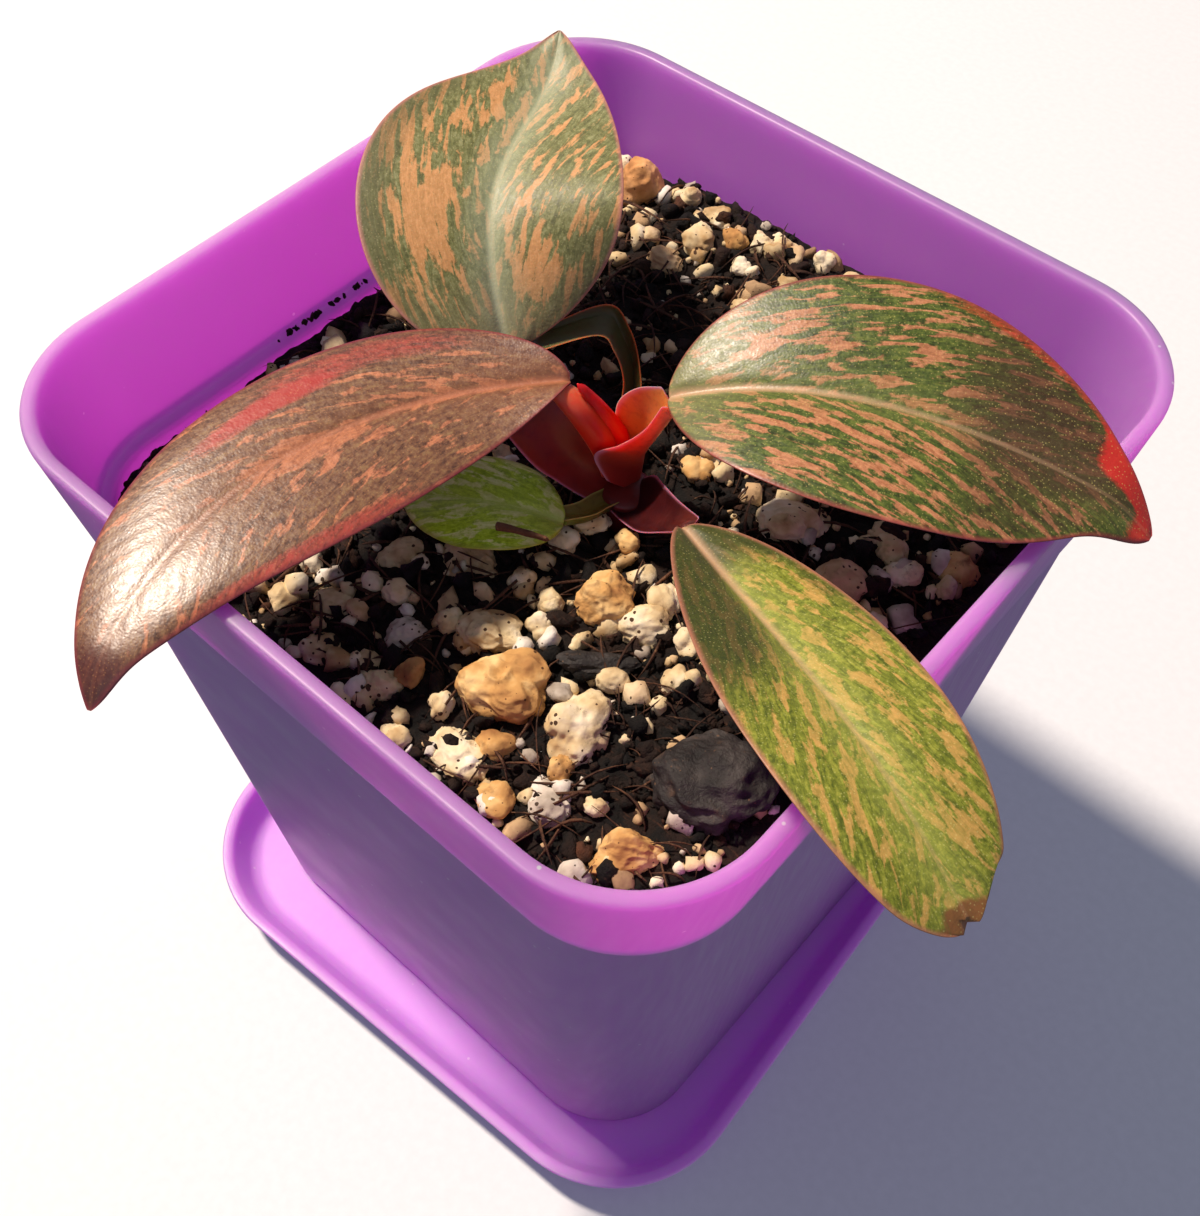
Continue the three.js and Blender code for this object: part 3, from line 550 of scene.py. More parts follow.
# %% The skirt and the sole
index = np.arange((MIX_CELLS + 1) ** 2).reshape(MIX_CELLS + 1, MIX_CELLS + 1)
rim = np.concatenate([index[0, :-1], index[:-1, -1], index[-1, :0:-1], index[:0:-1, 0]])
skirt = [(INNER_BELOW - 0.15, 62.0), (BASE_HALF - POT_WALL - 1.2, POT_FLOOR + 0.3)]
rings = [
    top_points[rim] * (half_width / INNER_BELOW, half_width / INNER_BELOW, 0) + (0, 0, z) for half_width, z in skirt
]
points = np.vstack([top_points, *rings, [[0, 0, skirt[-1][1]]]])
around = np.arange(len(rim))
after = (around + 1) % len(rim)
first, second = len(top_points), len(top_points) + len(rim)
loops = [rim, first + around, second + around]
walls = [
    np.stack([upper[after], upper[around], lower[around], lower[after]], 1) for upper, lower in zip(loops, loops[1:])
]
sole = np.stack([loops[-1][after], loops[-1][around], np.full(len(rim), len(points) - 1)], 1)
mix_surface = (points, [top_faces, *walls, sole])
print("mix body:", len(points), "points")

# %% [markdown]
# ## Damp peat
# Peat is never one flat brown: wet clumps are nearly black, dry fibres are rust and tan. The clump colour
# follows noise a few millimetres wide, and a finer noise draws short light fibres. Drawn this way the
# colour stays right however near the camera comes, which a picture wrapped round it wouldn't.

# %% Damp peat
def damp_peat(name, dark, brown, fibre):
    """Fibrous peat: almost no gloss, dark where damp, with pale fibre ends; tone lightens single crumbs.

    Clumps are 2.4 mm wide, fibres 1.4 mm long, and the grain of 0.45 mm is what the eye takes for wool.
    """
    material, node, shader = new_material(name, Roughness=0.82, IOR=1.45, Specular_IOR_Level=0.35)
    place = node("ShaderNodeTexCoord").outputs["Object"]
    tone = node("ShaderNodeAttribute", attribute_name="tone").outputs["Fac"]
    clump = node("ShaderNodeTexNoise", {"Vector": place, "Scale": grains_of(2.38), "Detail": 4.0, "Roughness": 0.65})
    mixed = node("ShaderNodeMath", {0: clump.outputs["Fac"], 1: tone}, operation="ADD").outputs[0]
    body = node("ShaderNodeValToRGB", {"Fac": mixed}, stops=[(0.42, dark), (0.72, brown), (1.0, fibre)])
    strands = node("ShaderNodeMapping", {"Vector": place, "Rotation": (0.4, 0.9, 0.7), "Scale": (1.0, 6.0, 1.0)})
    strand = node("ShaderNodeTexNoise", {"Vector": strands.outputs[0], "Scale": grains_of(1.43), "Detail": 2.0})
    light = node("ShaderNodeMapRange", {0: strand.outputs["Fac"], 1: 0.62, 2: 0.75, 3: 0.0, 4: 0.5}).outputs[0]
    colour = node("ShaderNodeMix", {0: light, 6: body.outputs["Color"], 7: linear(fibre)}, data_type="RGBA")
    grain = node("ShaderNodeTexNoise", {"Vector": place, "Scale": grains_of(0.4545), "Detail": 4.0, "Roughness": 0.7})
    bump = node("ShaderNodeBump", {"Height": grain.outputs["Fac"], "Strength": 1.0, "Distance": 0.4 * MM})
    connect(material, shader, Base_Color=colour.outputs[2], Normal=bump.outputs[0])
    return material


peat = damp_peat("damp_peat", "080504", "291810", "5a3624")
add_piece(
    "potting_mix_body", mix_surface, peat, "peat_mix", ["potting_mix"], tone=np.zeros(len(mix_surface[0])),
)

# %% [markdown]
# ## Pumice, baked clay and charcoal
# Pumice is a froth of glass: cream white, dull, full of pits that hold dark dust. The ochre lumps are baked
# clay. Charcoal is black with a dull graphite sheen. All three are one material function with its own
# colours and pits.

# %% Mineral grains
def mineral(name, pale, body, stain, pit, pit_share, roughness=0.9, bump_mm=0.12):
    """Porous grain: stains 3 mm wide over the body colour, dust in pits 0.7 mm apart, grime, and a frothy bump.

    The number tone shifts whole grains. Pits are drawn at the coarse end of the real ones, so that they show.
    """
    material, node, shader = new_material(name, Roughness=roughness, IOR=1.5, Specular_IOR_Level=0.3)
    place = node("ShaderNodeTexCoord").outputs["Object"]
    tone = node("ShaderNodeAttribute", attribute_name="tone").outputs["Fac"]
    broad = node("ShaderNodeTexNoise", {"Vector": place, "Scale": grains_of(3.03), "Detail": 3.0, "Roughness": 0.55})
    mixed = node("ShaderNodeMath", {0: broad.outputs["Fac"], 1: tone}, operation="ADD").outputs[0]
    colours = node("ShaderNodeValToRGB", {"Fac": mixed}, stops=[(0.30, stain), (0.50, body), (0.68, pale)])
    pits = node("ShaderNodeTexVoronoi", {"Vector": place, "Scale": grains_of(0.6667)}).outputs["Distance"]
    patchy = node("ShaderNodeTexNoise", {"Vector": place, "Scale": grains_of(1.25), "Detail": 3.0}).outputs["Fac"]
    reach = node("ShaderNodeMapRange", {0: patchy, 1: 0.45, 2: 0.7, 3: 0.05, 4: pit_share}).outputs[0]
    inside = node("ShaderNodeMath", {0: pits, 1: reach}, operation="LESS_THAN").outputs[0]
    dusty = node("ShaderNodeMix", {0: inside, 6: colours.outputs["Color"], 7: linear(pit)}, data_type="RGBA")
    grime = node("ShaderNodeTexNoise", {"Vector": place, "Scale": grains_of(1.667), "Detail": 5.0, "Roughness": 0.7})
    dirt = node("ShaderNodeMapRange", {0: grime.outputs["Fac"], 1: 0.58, 2: 0.72, 3: 0.0, 4: 0.55}).outputs[0]
    colour = node("ShaderNodeMix", {0: dirt, 6: dusty.outputs[2], 7: linear(pit)}, data_type="RGBA").outputs[2]
    froth = node("ShaderNodeTexNoise", {
        "Vector": place, "Scale": grains_of(0.4167), "Detail": 4.0, "Roughness": 0.65,
    })
    bump = node("ShaderNodeBump", {"Height": froth.outputs["Fac"], "Strength": 0.7, "Distance": bump_mm * MM})
    connect(material, shader, Base_Color=colour, Normal=bump.outputs[0])
    return material


pumice = mineral("rough_pumice", "ecdfc6", "d8c298", "a8865a", "4a3424", 0.34)
white_perlite = mineral("grey_perlite", "e8e0d6", "c8bcae", "8c7e70", "46382e", 0.36)
baked_clay = mineral("ochre_baked_clay", "e4c288", "c4955a", "94643a", "5a3c20", 0.24)
tan_clay = mineral("tan_baked_clay", "dcc4a0", "c4a47c", "94765a", "4a3626", 0.26)
amber_clay = mineral("amber_baked_clay", "e6b280", "cf9660", "a06a42", "5a3824", 0.2)
rust_clay = mineral("rust_baked_clay", "d08c62", "b87850", "84503a", "3c2620", 0.24)
charcoal = mineral("dull_charcoal", "4a4442", "2a2625", "151212", "5a4434", 0.22, roughness=0.6, bump_mm=0.35)

SLOTS = {
    pumice: "pumice_cream", white_perlite: "pumice_cream", charcoal: "charcoal",
    baked_clay: "ochre_stone", tan_clay: "ochre_stone", amber_clay: "ochre_stone", rust_clay: "ochre_stone",
}
print("minerals:", ", ".join(material.name for material in SLOTS))

# %% [markdown]
# ## One lump
# A broken porous stone is knobbly where it frothed and flat where it broke. Such a lump is a function of
# the direction from its middle: the reach of several overlapping balls, cut by flat faces. Sculpting would
# give more, but thirty stones need one rule.

# %% One lump as a function of direction
CORE_REACH, KNOB_SHARPNESS, BREAK_SHARPNESS = 0.66, 26, 30


@functools.lru_cache
def ball(level):
    """Directions and triangles of an even ball: an icosahedron split level - 1 times."""
    shape, mesh = bmesh.new(), bpy.data.meshes.new("ball")
    bmesh.ops.create_icosphere(shape, subdivisions=level, radius=1)
    shape.to_mesh(mesh)
    points, faces = np.empty(3 * len(mesh.vertices), np.float32), np.empty(3 * len(mesh.polygons), np.int32)
    mesh.vertices.foreach_get("co", points)
    mesh.loops.foreach_get("vertex_index", faces)
    shape.free()
    bpy.data.meshes.remove(mesh)
    return points.reshape(-1, 3).astype(float), faces.reshape(-1, 3)


def lump(level, size, turn_degrees, place, lobes, facets, relief, seed):
    """Reach = smooth maximum over balls off the middle, smooth minimum over flat faces, plus fractal noise."""
    directions, faces = ball(level)
    random = np.random.default_rng(seed)
    reach = np.full(len(directions), CORE_REACH)
    for _ in range(lobes):
        centre = random.normal(size=3)
        centre *= random.uniform(0.34, 0.56) / np.linalg.norm(centre)
        radius = random.uniform(0.36, 0.56)
        near = directions @ centre
        far_side = near + np.sqrt(np.maximum(near ** 2 - centre @ centre + radius ** 2, 0))
        reach = np.logaddexp(KNOB_SHARPNESS * reach, KNOB_SHARPNESS * far_side) / KNOB_SHARPNESS
    for _ in range(facets):
        normal = random.normal(size=3)
        normal /= np.linalg.norm(normal)
        face = random.uniform(0.58, 0.8) / np.maximum(directions @ normal, 0.05)
        reach = -np.logaddexp(-BREAK_SHARPNESS * reach, -BREAK_SHARPNESS * face) / BREAK_SHARPNESS
    points = directions * reach[:, None]
    knobs = np.abs(noise(points / 0.24 + 5.1 * seed, seed + 9))
    points *= 1 + relief * rough(points + seed, 0.5, 4, seed)[:, None] - 0.14 * knobs[:, None]
    points *= np.array(size) / (points.max(0) - points.min(0))
    angle = np.radians(turn_degrees)
    turned = points @ np.array([[np.cos(angle), np.sin(angle), 0], [-np.sin(angle), np.cos(angle), 0], [0, 0, 1]])
    return turned + np.array(place), [faces]


print("a lump of level 5 has", len(ball(5)[1]), "triangles")

# %% [markdown]
# ## The lumps that show by themselves
# Each large stone has its own place, size and turn, the same as its solid. It is set down on the level of
# the mix and lifted or sunk a little, and the largest get a finer ball.

# %% The lumps that show by themselves
LARGE_LUMP, LUMP_RELIEF = 4.7, 0.20
LUMPS = [
    # name, x, y, length, width, height, turn, lift, material, lobes, facets
    ("ochre_block", 9.1, -21.6, 7.4, 6.0, 5.4, 20, 1.2, baked_clay, 3, 5),
    ("pumice_speckled", 9.9, -27.2, 5.8, 4.2, 3.6, -10, 0.1, pumice, 5, 1),
    ("pumice_knobbly", 15.6, -20.0, 4.6, 6.4, 4.4, 10, 0.6, pumice, 7, 0),
    ("ochre_crag", 9.6, -10.4, 4.8, 4.6, 4.2, 30, 0.8, baked_clay, 4, 5),
    ("pumice_beside_crag", 13.2, -9.6, 4.2, 4.0, 3.6, 60, 0.4, pumice, 6, 1),
    ("pumice_cluster", 4.2, -18.4, 6.0, 4.2, 3.6, 15, 0.6, pumice, 9, 0),
    ("charcoal_flake", 13.0, -14.9, 6.6, 2.4, 2.2, 36, 0.4, charcoal, 3, 3),
    ("charcoal_lump", 26.0, -17.0, 9.8, 8.4, 6.4, 30, 0.8, charcoal, 6, 4),
    ("pumice_grey", 18.3, -26.0, 4.2, 3.6, 3.4, 0, 0.1, white_perlite, 6, 1),
    ("ochre_front_corner", 25.2, -25.2, 5.6, 3.8, 4.0, 45, 0.5, baked_clay, 3, 4),
    ("pumice_front_left", 1.4, -27.0, 3.8, 3.2, 3.0, 40, 0.1, pumice, 5, 1),
    ("pumice_left_rim", -4.6, -27.6, 4.0, 3.2, 3.0, 0, 0.0, pumice, 5, 2),
    ("pumice_left_row", -0.4, -22.6, 3.8, 3.4, 3.0, 70, 0.1, white_perlite, 6, 0),
    ("pumice_left_pair", -7.4, -24.0, 3.8, 3.6, 3.0, 20, 0.0, pumice, 5, 1),
    ("pumice_under_leaf", -6.6, -17.0, 4.2, 3.0, 2.8, 50, 0.1, pumice, 5, 1),
    ("tan_round", -1.6, -13.6, 5.6, 4.8, 3.6, 10, -0.4, tan_clay, 3, 1),
    ("pumice_large_right", 15.6, 5.3, 6.8, 5.0, 4.6, 35, 0.6, pumice, 6, 0),
    ("tan_pebble", 22.4, 3.4, 4.4, 4.0, 4.0, 0, 0.6, tan_clay, 2, 4),
    ("pumice_right", 23.6, 8.4, 3.4, 3.2, 3.0, 0, 0.2, pumice, 5, 1),
    ("ochre_right_wall", 28.8, 10.0, 3.4, 3.0, 3.0, 20, 0.2, baked_clay, 3, 2),
    ("amber_upright", -19.5, 28.2, 4.4, 4.0, 6.0, 15, 1.4, amber_clay, 2, 7),
    ("pumice_back_wall", -10.6, 29.0, 3.4, 3.0, 2.8, 30, 0.1, pumice, 5, 1),
    ("pumice_back_middle", -3.4, 29.2, 3.4, 3.0, 2.8, 0, 0.1, pumice, 5, 1),
    ("pumice_back_right", 4.6, 29.0, 3.2, 3.0, 2.8, 50, 0.0, pumice, 5, 1),
    ("pebble_behind_leaf", -11.2, 21.8, 3.8, 3.2, 3.0, 10, 0.2, tan_clay, 3, 2),
    ("pumice_beyond_crown", 6.8, 6.6, 3.4, 3.0, 2.6, 0, 0.1, white_perlite, 5, 1),
    ("orange_left_corner", -27.6, -24.0, 4.6, 4.2, 3.8, 20, 0.4, rust_clay, 3, 2),
    ("pumice_left_wall", -27.8, -15.8, 3.6, 3.2, 2.8, 0, 0.1, pumice, 5, 1),
]

for seed, (name, x, y, length, width, height, turn, lift, material, lobes, facets) in enumerate(LUMPS):
    place = (x, y, float(mix_level(x, y)) + lift)
    level = 6 if length > LARGE_LUMP else 5
    surface = lump(level, (length, width, height), turn, place, lobes, facets, LUMP_RELIEF, seed + 1)
    tone = 0.05 * rough(surface[0], 2.0, 2, seed)
    add_piece(name + "_lump", surface, material, SLOTS[material], [name], tone=tone)

# %% [markdown]
# ## Smaller grains at set places
# Smaller grains lie between them at places of their own. They are made the same way and fused into the mix
# on the solid, so here they form two pieces, one of pumice and one of baked clay.

# %% Smaller grains at set places
GRAIN_LIFT, GRAIN_WIDTH, GRAIN_TURN = 0.7, 0.85, 47
PLACED = {
    # x, y, length, height
    "pumice_small_grains": (pumice, [
        (3.0, -7.9, 2.6, 2.4), (3.3, -5.0, 3.4, 2.2), (29.0, 7.7, 1.9, 1.8), (13.1, -7.2, 3.3, 2.6),
        (20.9, -24.0, 1.9, 1.8), (14.7, -15.3, 2.6, 2.4), (16.9, -8.8, 3.0, 2.6), (0.0, -29.8, 2.3, 2.0),
        (3.1, -12.6, 2.4, 2.2), (26.0, 7.1, 3.1, 2.6), (-12.0, -22.0, 3.0, 2.6), (-10.2, -26.4, 2.8, 2.4),
        (-3.8, -20.0, 2.8, 2.4), (1.2, -19.2, 2.6, 2.4), (6.4, -25.0, 2.4, 2.2), (5.8, -29.2, 2.6, 2.2),
        (7.3, -15.0, 2.6, 2.2), (6.6, -13.2, 2.4, 2.2), (18.4, -12.2, 2.6, 2.2), (-6.0, -20.6, 2.4, 2.2),
        (-15.0, -27.0, 2.8, 2.4), (-23.6, 30.0, 3.0, 2.8), (-9.9, 25.2, 3.7, 3.0), (-5.1, 28.2, 2.4, 2.2),
        (-4.7, 24.7, 2.2, 2.0), (-14.6, 29.6, 2.6, 2.4), (0.6, 29.8, 2.4, 2.2), (8.0, 29.6, 2.6, 2.2),
        (-1.6, 21.0, 2.2, 2.0), (13.8, 27.8, 2.4, 2.2), (19.6, 12.6, 2.6, 2.2), (21.8, -1.6, 2.4, 2.0),
        (26.6, 1.2, 2.6, 2.2), (19.6, -3.4, 2.2, 2.0),
    ]),
    "clay_small_grains": (baked_clay, [
        (15.1, -28.3, 3.4, 2.2), (12.2, -24.9, 3.2, 2.4), (16.9, -23.5, 2.2, 2.0), (6.8, 4.8, 3.3, 2.4),
        (7.3, -4.7, 2.4, 2.0), (-17.6, -21.4, 2.8, 2.4), (2.6, -24.6, 2.6, 2.2), (-7.2, 27.0, 2.6, 2.4),
        (11.4, 24.4, 2.4, 2.2), (24.6, 13.8, 2.6, 2.4),
    ]),
}

for seed, (name, (material, grains)) in enumerate(PLACED.items()):
    bodies = []
    for k, (x, y, length, height) in enumerate(grains):
        place = (x, y, float(mix_level(x, y)) + GRAIN_LIFT)
        size = (length, GRAIN_WIDTH * length, height)
        bodies.append(lump(4, size, GRAIN_TURN * k, place, 5, k % 3, LUMP_RELIEF, 50 * seed + k))
    surface = joined(bodies)
    add_piece(name, surface, material, SLOTS[material], tone=0.08 * rough(surface[0], 4.0, 2, seed))

# %% [markdown]
# ## Copies of a small body
# Between the lumps lie thousands of small things. Each kind is one piece: a small body of a few dozen faces
# is copied by arrays, with a seeded stretch, turn and tone for every copy, and set down on the mix's
# height. A particle system would do the same, but its copies can't be told apart by colour as easily.

# %% Copies of a small body
CROWN_CLEARANCE = 3.4


def pebble(seed, bumpiness, rows=5, columns=8):
    """A ball of rows x columns quads pushed in and out by noise: a crumb about 1 mm across."""
    lift = np.linspace(-1, 1, rows + 2)[1:-1]
    turn = np.linspace(0, 2 * np.pi, columns, endpoint=False)
    radius = np.sqrt(1 - lift ** 2)[:, None]
    level = np.broadcast_to(lift[:, None], (rows, columns))
    rings = np.stack([radius * np.cos(turn), radius * np.sin(turn), level], -1)
    points, faces = closed_skin(rings)
    points[-2:, 2] *= 1.15
    return 0.5 * points * (1 + bumpiness * rough(points + 3 * seed, 0.9, 2, seed)[:, None]), faces


def scattered(surface, places, sizes, random):
    """Copy = place + turn x (size * point), for all copies at once, each turn a random unit quaternion."""
    points, faces = surface
    count = len(places)
    q = random.normal(size=(count, 4))
    w, i, j, k = (q / np.linalg.norm(q, axis=1, keepdims=True)).T
    turns = np.stack([
        1 - 2 * (j * j + k * k), 2 * (i * j - k * w), 2 * (i * k + j * w),
        2 * (i * j + k * w), 1 - 2 * (i * i + k * k), 2 * (j * k - i * w),
        2 * (i * k - j * w), 2 * (j * k + i * w), 1 - 2 * (i * i + j * j),
    ], 1).reshape(count, 3, 3)
    copies = np.einsum("cij,cpj->cpi", turns, points[None] * sizes[:, None]) + places[:, None]
    offsets = (np.arange(count) * len(points))[:, None, None]
    return copies.reshape(-1, 3), [(group[None] + offsets).reshape(-1, group.shape[1]) for group in faces]


def spots(random, count, margin=0.6):
    """Random places inside the pot's inner outline, this far from the wall and clear of the crown.

    Four times as many are drawn as are needed, and those outside the round corners are left out.
    """
    reach = INNER_BELOW - margin
    xy = random.uniform(-reach, reach, (4 * count, 2))
    corner = np.maximum(np.abs(xy) - CENTRE_AT_LEDGE, 0)
    clear = np.hypot(*(xy - CROWN_PLACE).T) > CROWN_CLEARANCE
    return xy[(np.hypot(*corner.T) < reach - CENTRE_AT_LEDGE) & clear][:count]


def on_mix(xy, lift):
    """The places on the mix, raised by what of each copy's height isn't sunk in."""
    return np.column_stack([xy, mix_height(xy[:, 0], xy[:, 1]) + lift])


print("a crumb of 5 x 8 points has", sum(len(group) for group in pebble(60, 1.1)[1]), "faces")

# %% [markdown]
# ## Peat crumbs
# Sifted peat breaks into crumbs of 0.3 to 2 mm, most of them small, so the sizes follow a power of a random
# number. Five bodies for each kind are enough, because every copy is stretched and turned its own way.

# %% Peat crumbs, coarse and fine
CRUMB_KINDS = [
    # name, seed, copies of each of five bodies, least and greatest size in mm, rows and columns of a body
    ("peat_crumbs", 2024, 460, (0.5, 1.9), (5, 8)),
    ("fine_peat_crumbs", 2025, 520, (0.3, 0.9), (3, 6)),
]

for name, seed, count, (least, greatest), (rows, columns) in CRUMB_KINDS:
    random = np.random.default_rng(seed)
    crumbs, crumb_tones = [], []
    for kind in range(5):
        xy = spots(random, count)
        size = least + (greatest - least) * random.random(len(xy)) ** 2.6
        stretch = size[:, None] * random.uniform(0.6, 1.35, (len(xy), 3))
        body = pebble(60 + kind, 1.1, rows, columns)
        crumbs.append(scattered(body, on_mix(xy, 0.2 * size), stretch, random))
        crumb_tones.append(np.repeat(random.uniform(-0.25, 0.28, len(xy)), len(body[0])))
    add_piece(name, joined(crumbs), peat, "peat_mix", tone=np.concatenate(crumb_tones))

# %% [markdown]
# ## Crumbs on the ledge
# Some crumbs stay on the narrow step inside the collar when the pot is filled. They lie in two rows, along
# the left wall and along the far wall.

# %% Crumbs left on the ledge
LEFT_CRUMBS, FAR_CRUMBS = 60, 50

random = np.random.default_rng(90)
ledge_place = INNER_BELOW + 0.35
left_row = np.column_stack([np.full(LEFT_CRUMBS, -ledge_place), random.uniform(-8, 26, LEFT_CRUMBS)])
far_row = np.column_stack([random.uniform(-18, 26, FAR_CRUMBS), np.full(FAR_CRUMBS, ledge_place)])
ledge_xy = np.vstack([left_row, far_row])
size = 0.25 + 0.6 * random.random(len(ledge_xy)) ** 2
ledge_places = np.column_stack([ledge_xy, LEDGE + 0.4 + 0.25 * size])
body = pebble(70, 0.9)
ledge_crumbs = scattered(body, ledge_places, size[:, None] * random.uniform(0.6, 1.2, (len(size), 3)), random)
tone = np.repeat(random.uniform(-0.2, 0.2, len(size)), len(body[0]))
add_piece("ledge_crumbs", ledge_crumbs, peat, "peat_mix", tone=tone)

# %% [markdown]
# ## Grit
# Grit is what breaks off the large grains: pumice, perlite and baked clay of 0.5 to 2.4 mm. Three bodies
# for each kind are scattered over the crumbs.

# %% Pumice, perlite and clay grit
GRIT_KINDS = [
    # name, material, copies in all, seed
    ("pumice_grit", pumice, 420, 31),
    ("perlite_grit", white_perlite, 240, 37),
    ("clay_grit", tan_clay, 240, 41),
]

for name, material, count, seed in GRIT_KINDS:
    random = np.random.default_rng(seed)
    grit, grit_tones = [], []
    for kind in range(3):
        xy = spots(random, count // 3)
        size = 0.5 + 1.9 * random.random(len(xy)) ** 2.4
        stretch = size[:, None] * random.uniform(0.75, 1.25, (len(xy), 3))
        body = pebble(seed + kind, 0.7)
        grit.append(scattered(body, on_mix(xy, 0.22 * size), stretch, random))
        grit_tones.append(np.repeat(random.uniform(-0.15, 0.12, len(xy)), len(body[0])))
    add_piece(name, joined(grit), material, SLOTS[material], tone=np.concatenate(grit_tones))

# %% [markdown]
# ## Fibres
# Coir and root fibres lie over the crumbs in short bent lengths. A fibre is a thin three-sided tube along a
# gentle arc. Its copies are stretched along their length and laid nearly flat.

# %% Fibres
def bent_fibre(bend, rows=7, sides=3):
    """A tube of length 1 along an arc that rises and falls by bend, tapering at both ends."""
    t = np.linspace(0, 1, rows)
    centre = np.stack([t - 0.5, bend * np.sin(2.4 * t), bend * np.sin(np.pi * t)], 1)
    turn = -np.linspace(0, 2 * np.pi, sides, endpoint=False)
    thickness = (0.35 + np.sin(np.pi * t))[:, None]
    section = np.stack([np.zeros((rows, sides)), thickness * np.cos(turn), thickness * np.sin(turn)], -1)
    return centre, section


def fibres(random, count, length_range, thickness_range, bend):
    """Copies of a bent fibre: length along its arc, thickness across, turned about Z and tipped a little."""
    centre, section = bent_fibre(bend)
    xy = spots(random, count, margin=2.0)
    count = len(xy)
    length = random.uniform(*length_range, count)[:, None, None]
    thick = random.uniform(*thickness_range, count)[:, None, None, None]
    body = centre[None, :, None, :] * length[..., None] + 0.5 * thick * section[None]
    angle = random.uniform(0, 2 * np.pi, count)
    tilt = random.normal(0, 0.16, count)
    c, s, ct, st = np.cos(angle), np.sin(angle), np.cos(tilt), np.sin(tilt)
    zero, one = np.zeros(count), np.ones(count)
    tip = np.stack([ct, zero, -st, zero, one, zero, st, zero, ct], 1).reshape(count, 3, 3)
    spin = np.stack([c, -s, zero, s, c, zero, zero, zero, one], 1).reshape(count, 3, 3)
    placed = np.einsum("cij,cjk,crsk->crsi", spin, tip, body) + on_mix(xy, 0.35)[:, None, None]
    return [closed_skin(rings) for rings in placed]


random = np.random.default_rng(77)
coir = damp_peat("dry_coir_fibre", "3a241a", "6a4632", "a07a58")
long_strands = fibres(random, 420, (2.5, 8.0), (0.10, 0.24), 0.12)
short_strands = fibres(random, 260, (1.5, 4.5), (0.12, 0.3), 0.2)
coir_surface = joined(long_strands + short_strands)
add_piece("coir_fibres", coir_surface, coir, "bark", tone=0.2 * rough(coir_surface[0], 3.0, 2, 5))

# %% [markdown]
# ## Curves
# Leaves and stalks follow curves. A midrib is a cubic curve of four points, and it is walked in shares of
# its length, so that the rows of a mesh can be set closer where the shape needs them.

# %% Curves
def bezier(points, t):
    """Cubic curve of four points: weights (1-t)^3, 3t(1-t)^2, 3t^2(1-t) and t^3."""
    weights = np.stack([(1 - t) ** 3, 3 * t * (1 - t) ** 2, 3 * t ** 2 * (1 - t), t ** 3], -1)
    return weights @ np.array(points, float)


def even_curve(curve, shares):
    """Points and unit directions of a curve at shares of its length, and the length itself."""
    fine = curve(np.linspace(0, 1, 600))
    steps = np.linalg.norm(np.diff(fine, axis=0), axis=1)
    travelled = np.concatenate([[0], np.cumsum(steps)])
    place, ahead, behind = [
        np.stack([np.interp(shares * travelled[-1] + shift, travelled, fine[:, k]) for k in range(3)], -1)
        for shift in (0, 0.05, -0.05)
    ]
    along = ahead - behind
    return place, along / np.linalg.norm(along, axis=1, keepdims=True), travelled[-1]


straight = [[0, 0, 0], [1, 0, 0], [2, 0, 0], [3, 0, 0]]
print("halfway along a straight curve:", bezier(straight, np.array([0.5]))[0])

# %% [markdown]
# ## The blade of a leaf
# A leaf is one blade bent along its midrib. At every step along it the two halves reach out to the outline,
# fold up like a shallow V and curl back down at the margins. The section is a closed flat loop, so the
# blade has a top, an underside with a raised rib, and a soft thin edge. A flat card with a picture of a
# leaf on it would be quicker, but it has no thickness and no gloss that follows the veins.

# %% One blade
BLADE_ROWS, BLADE_COLUMNS = 190, 128
BLADE_THICKNESS = 0.5
VEIN_SLANT, VEIN_SWEEP, VEIN_SPACING = 1.6, 0.05, 2.3


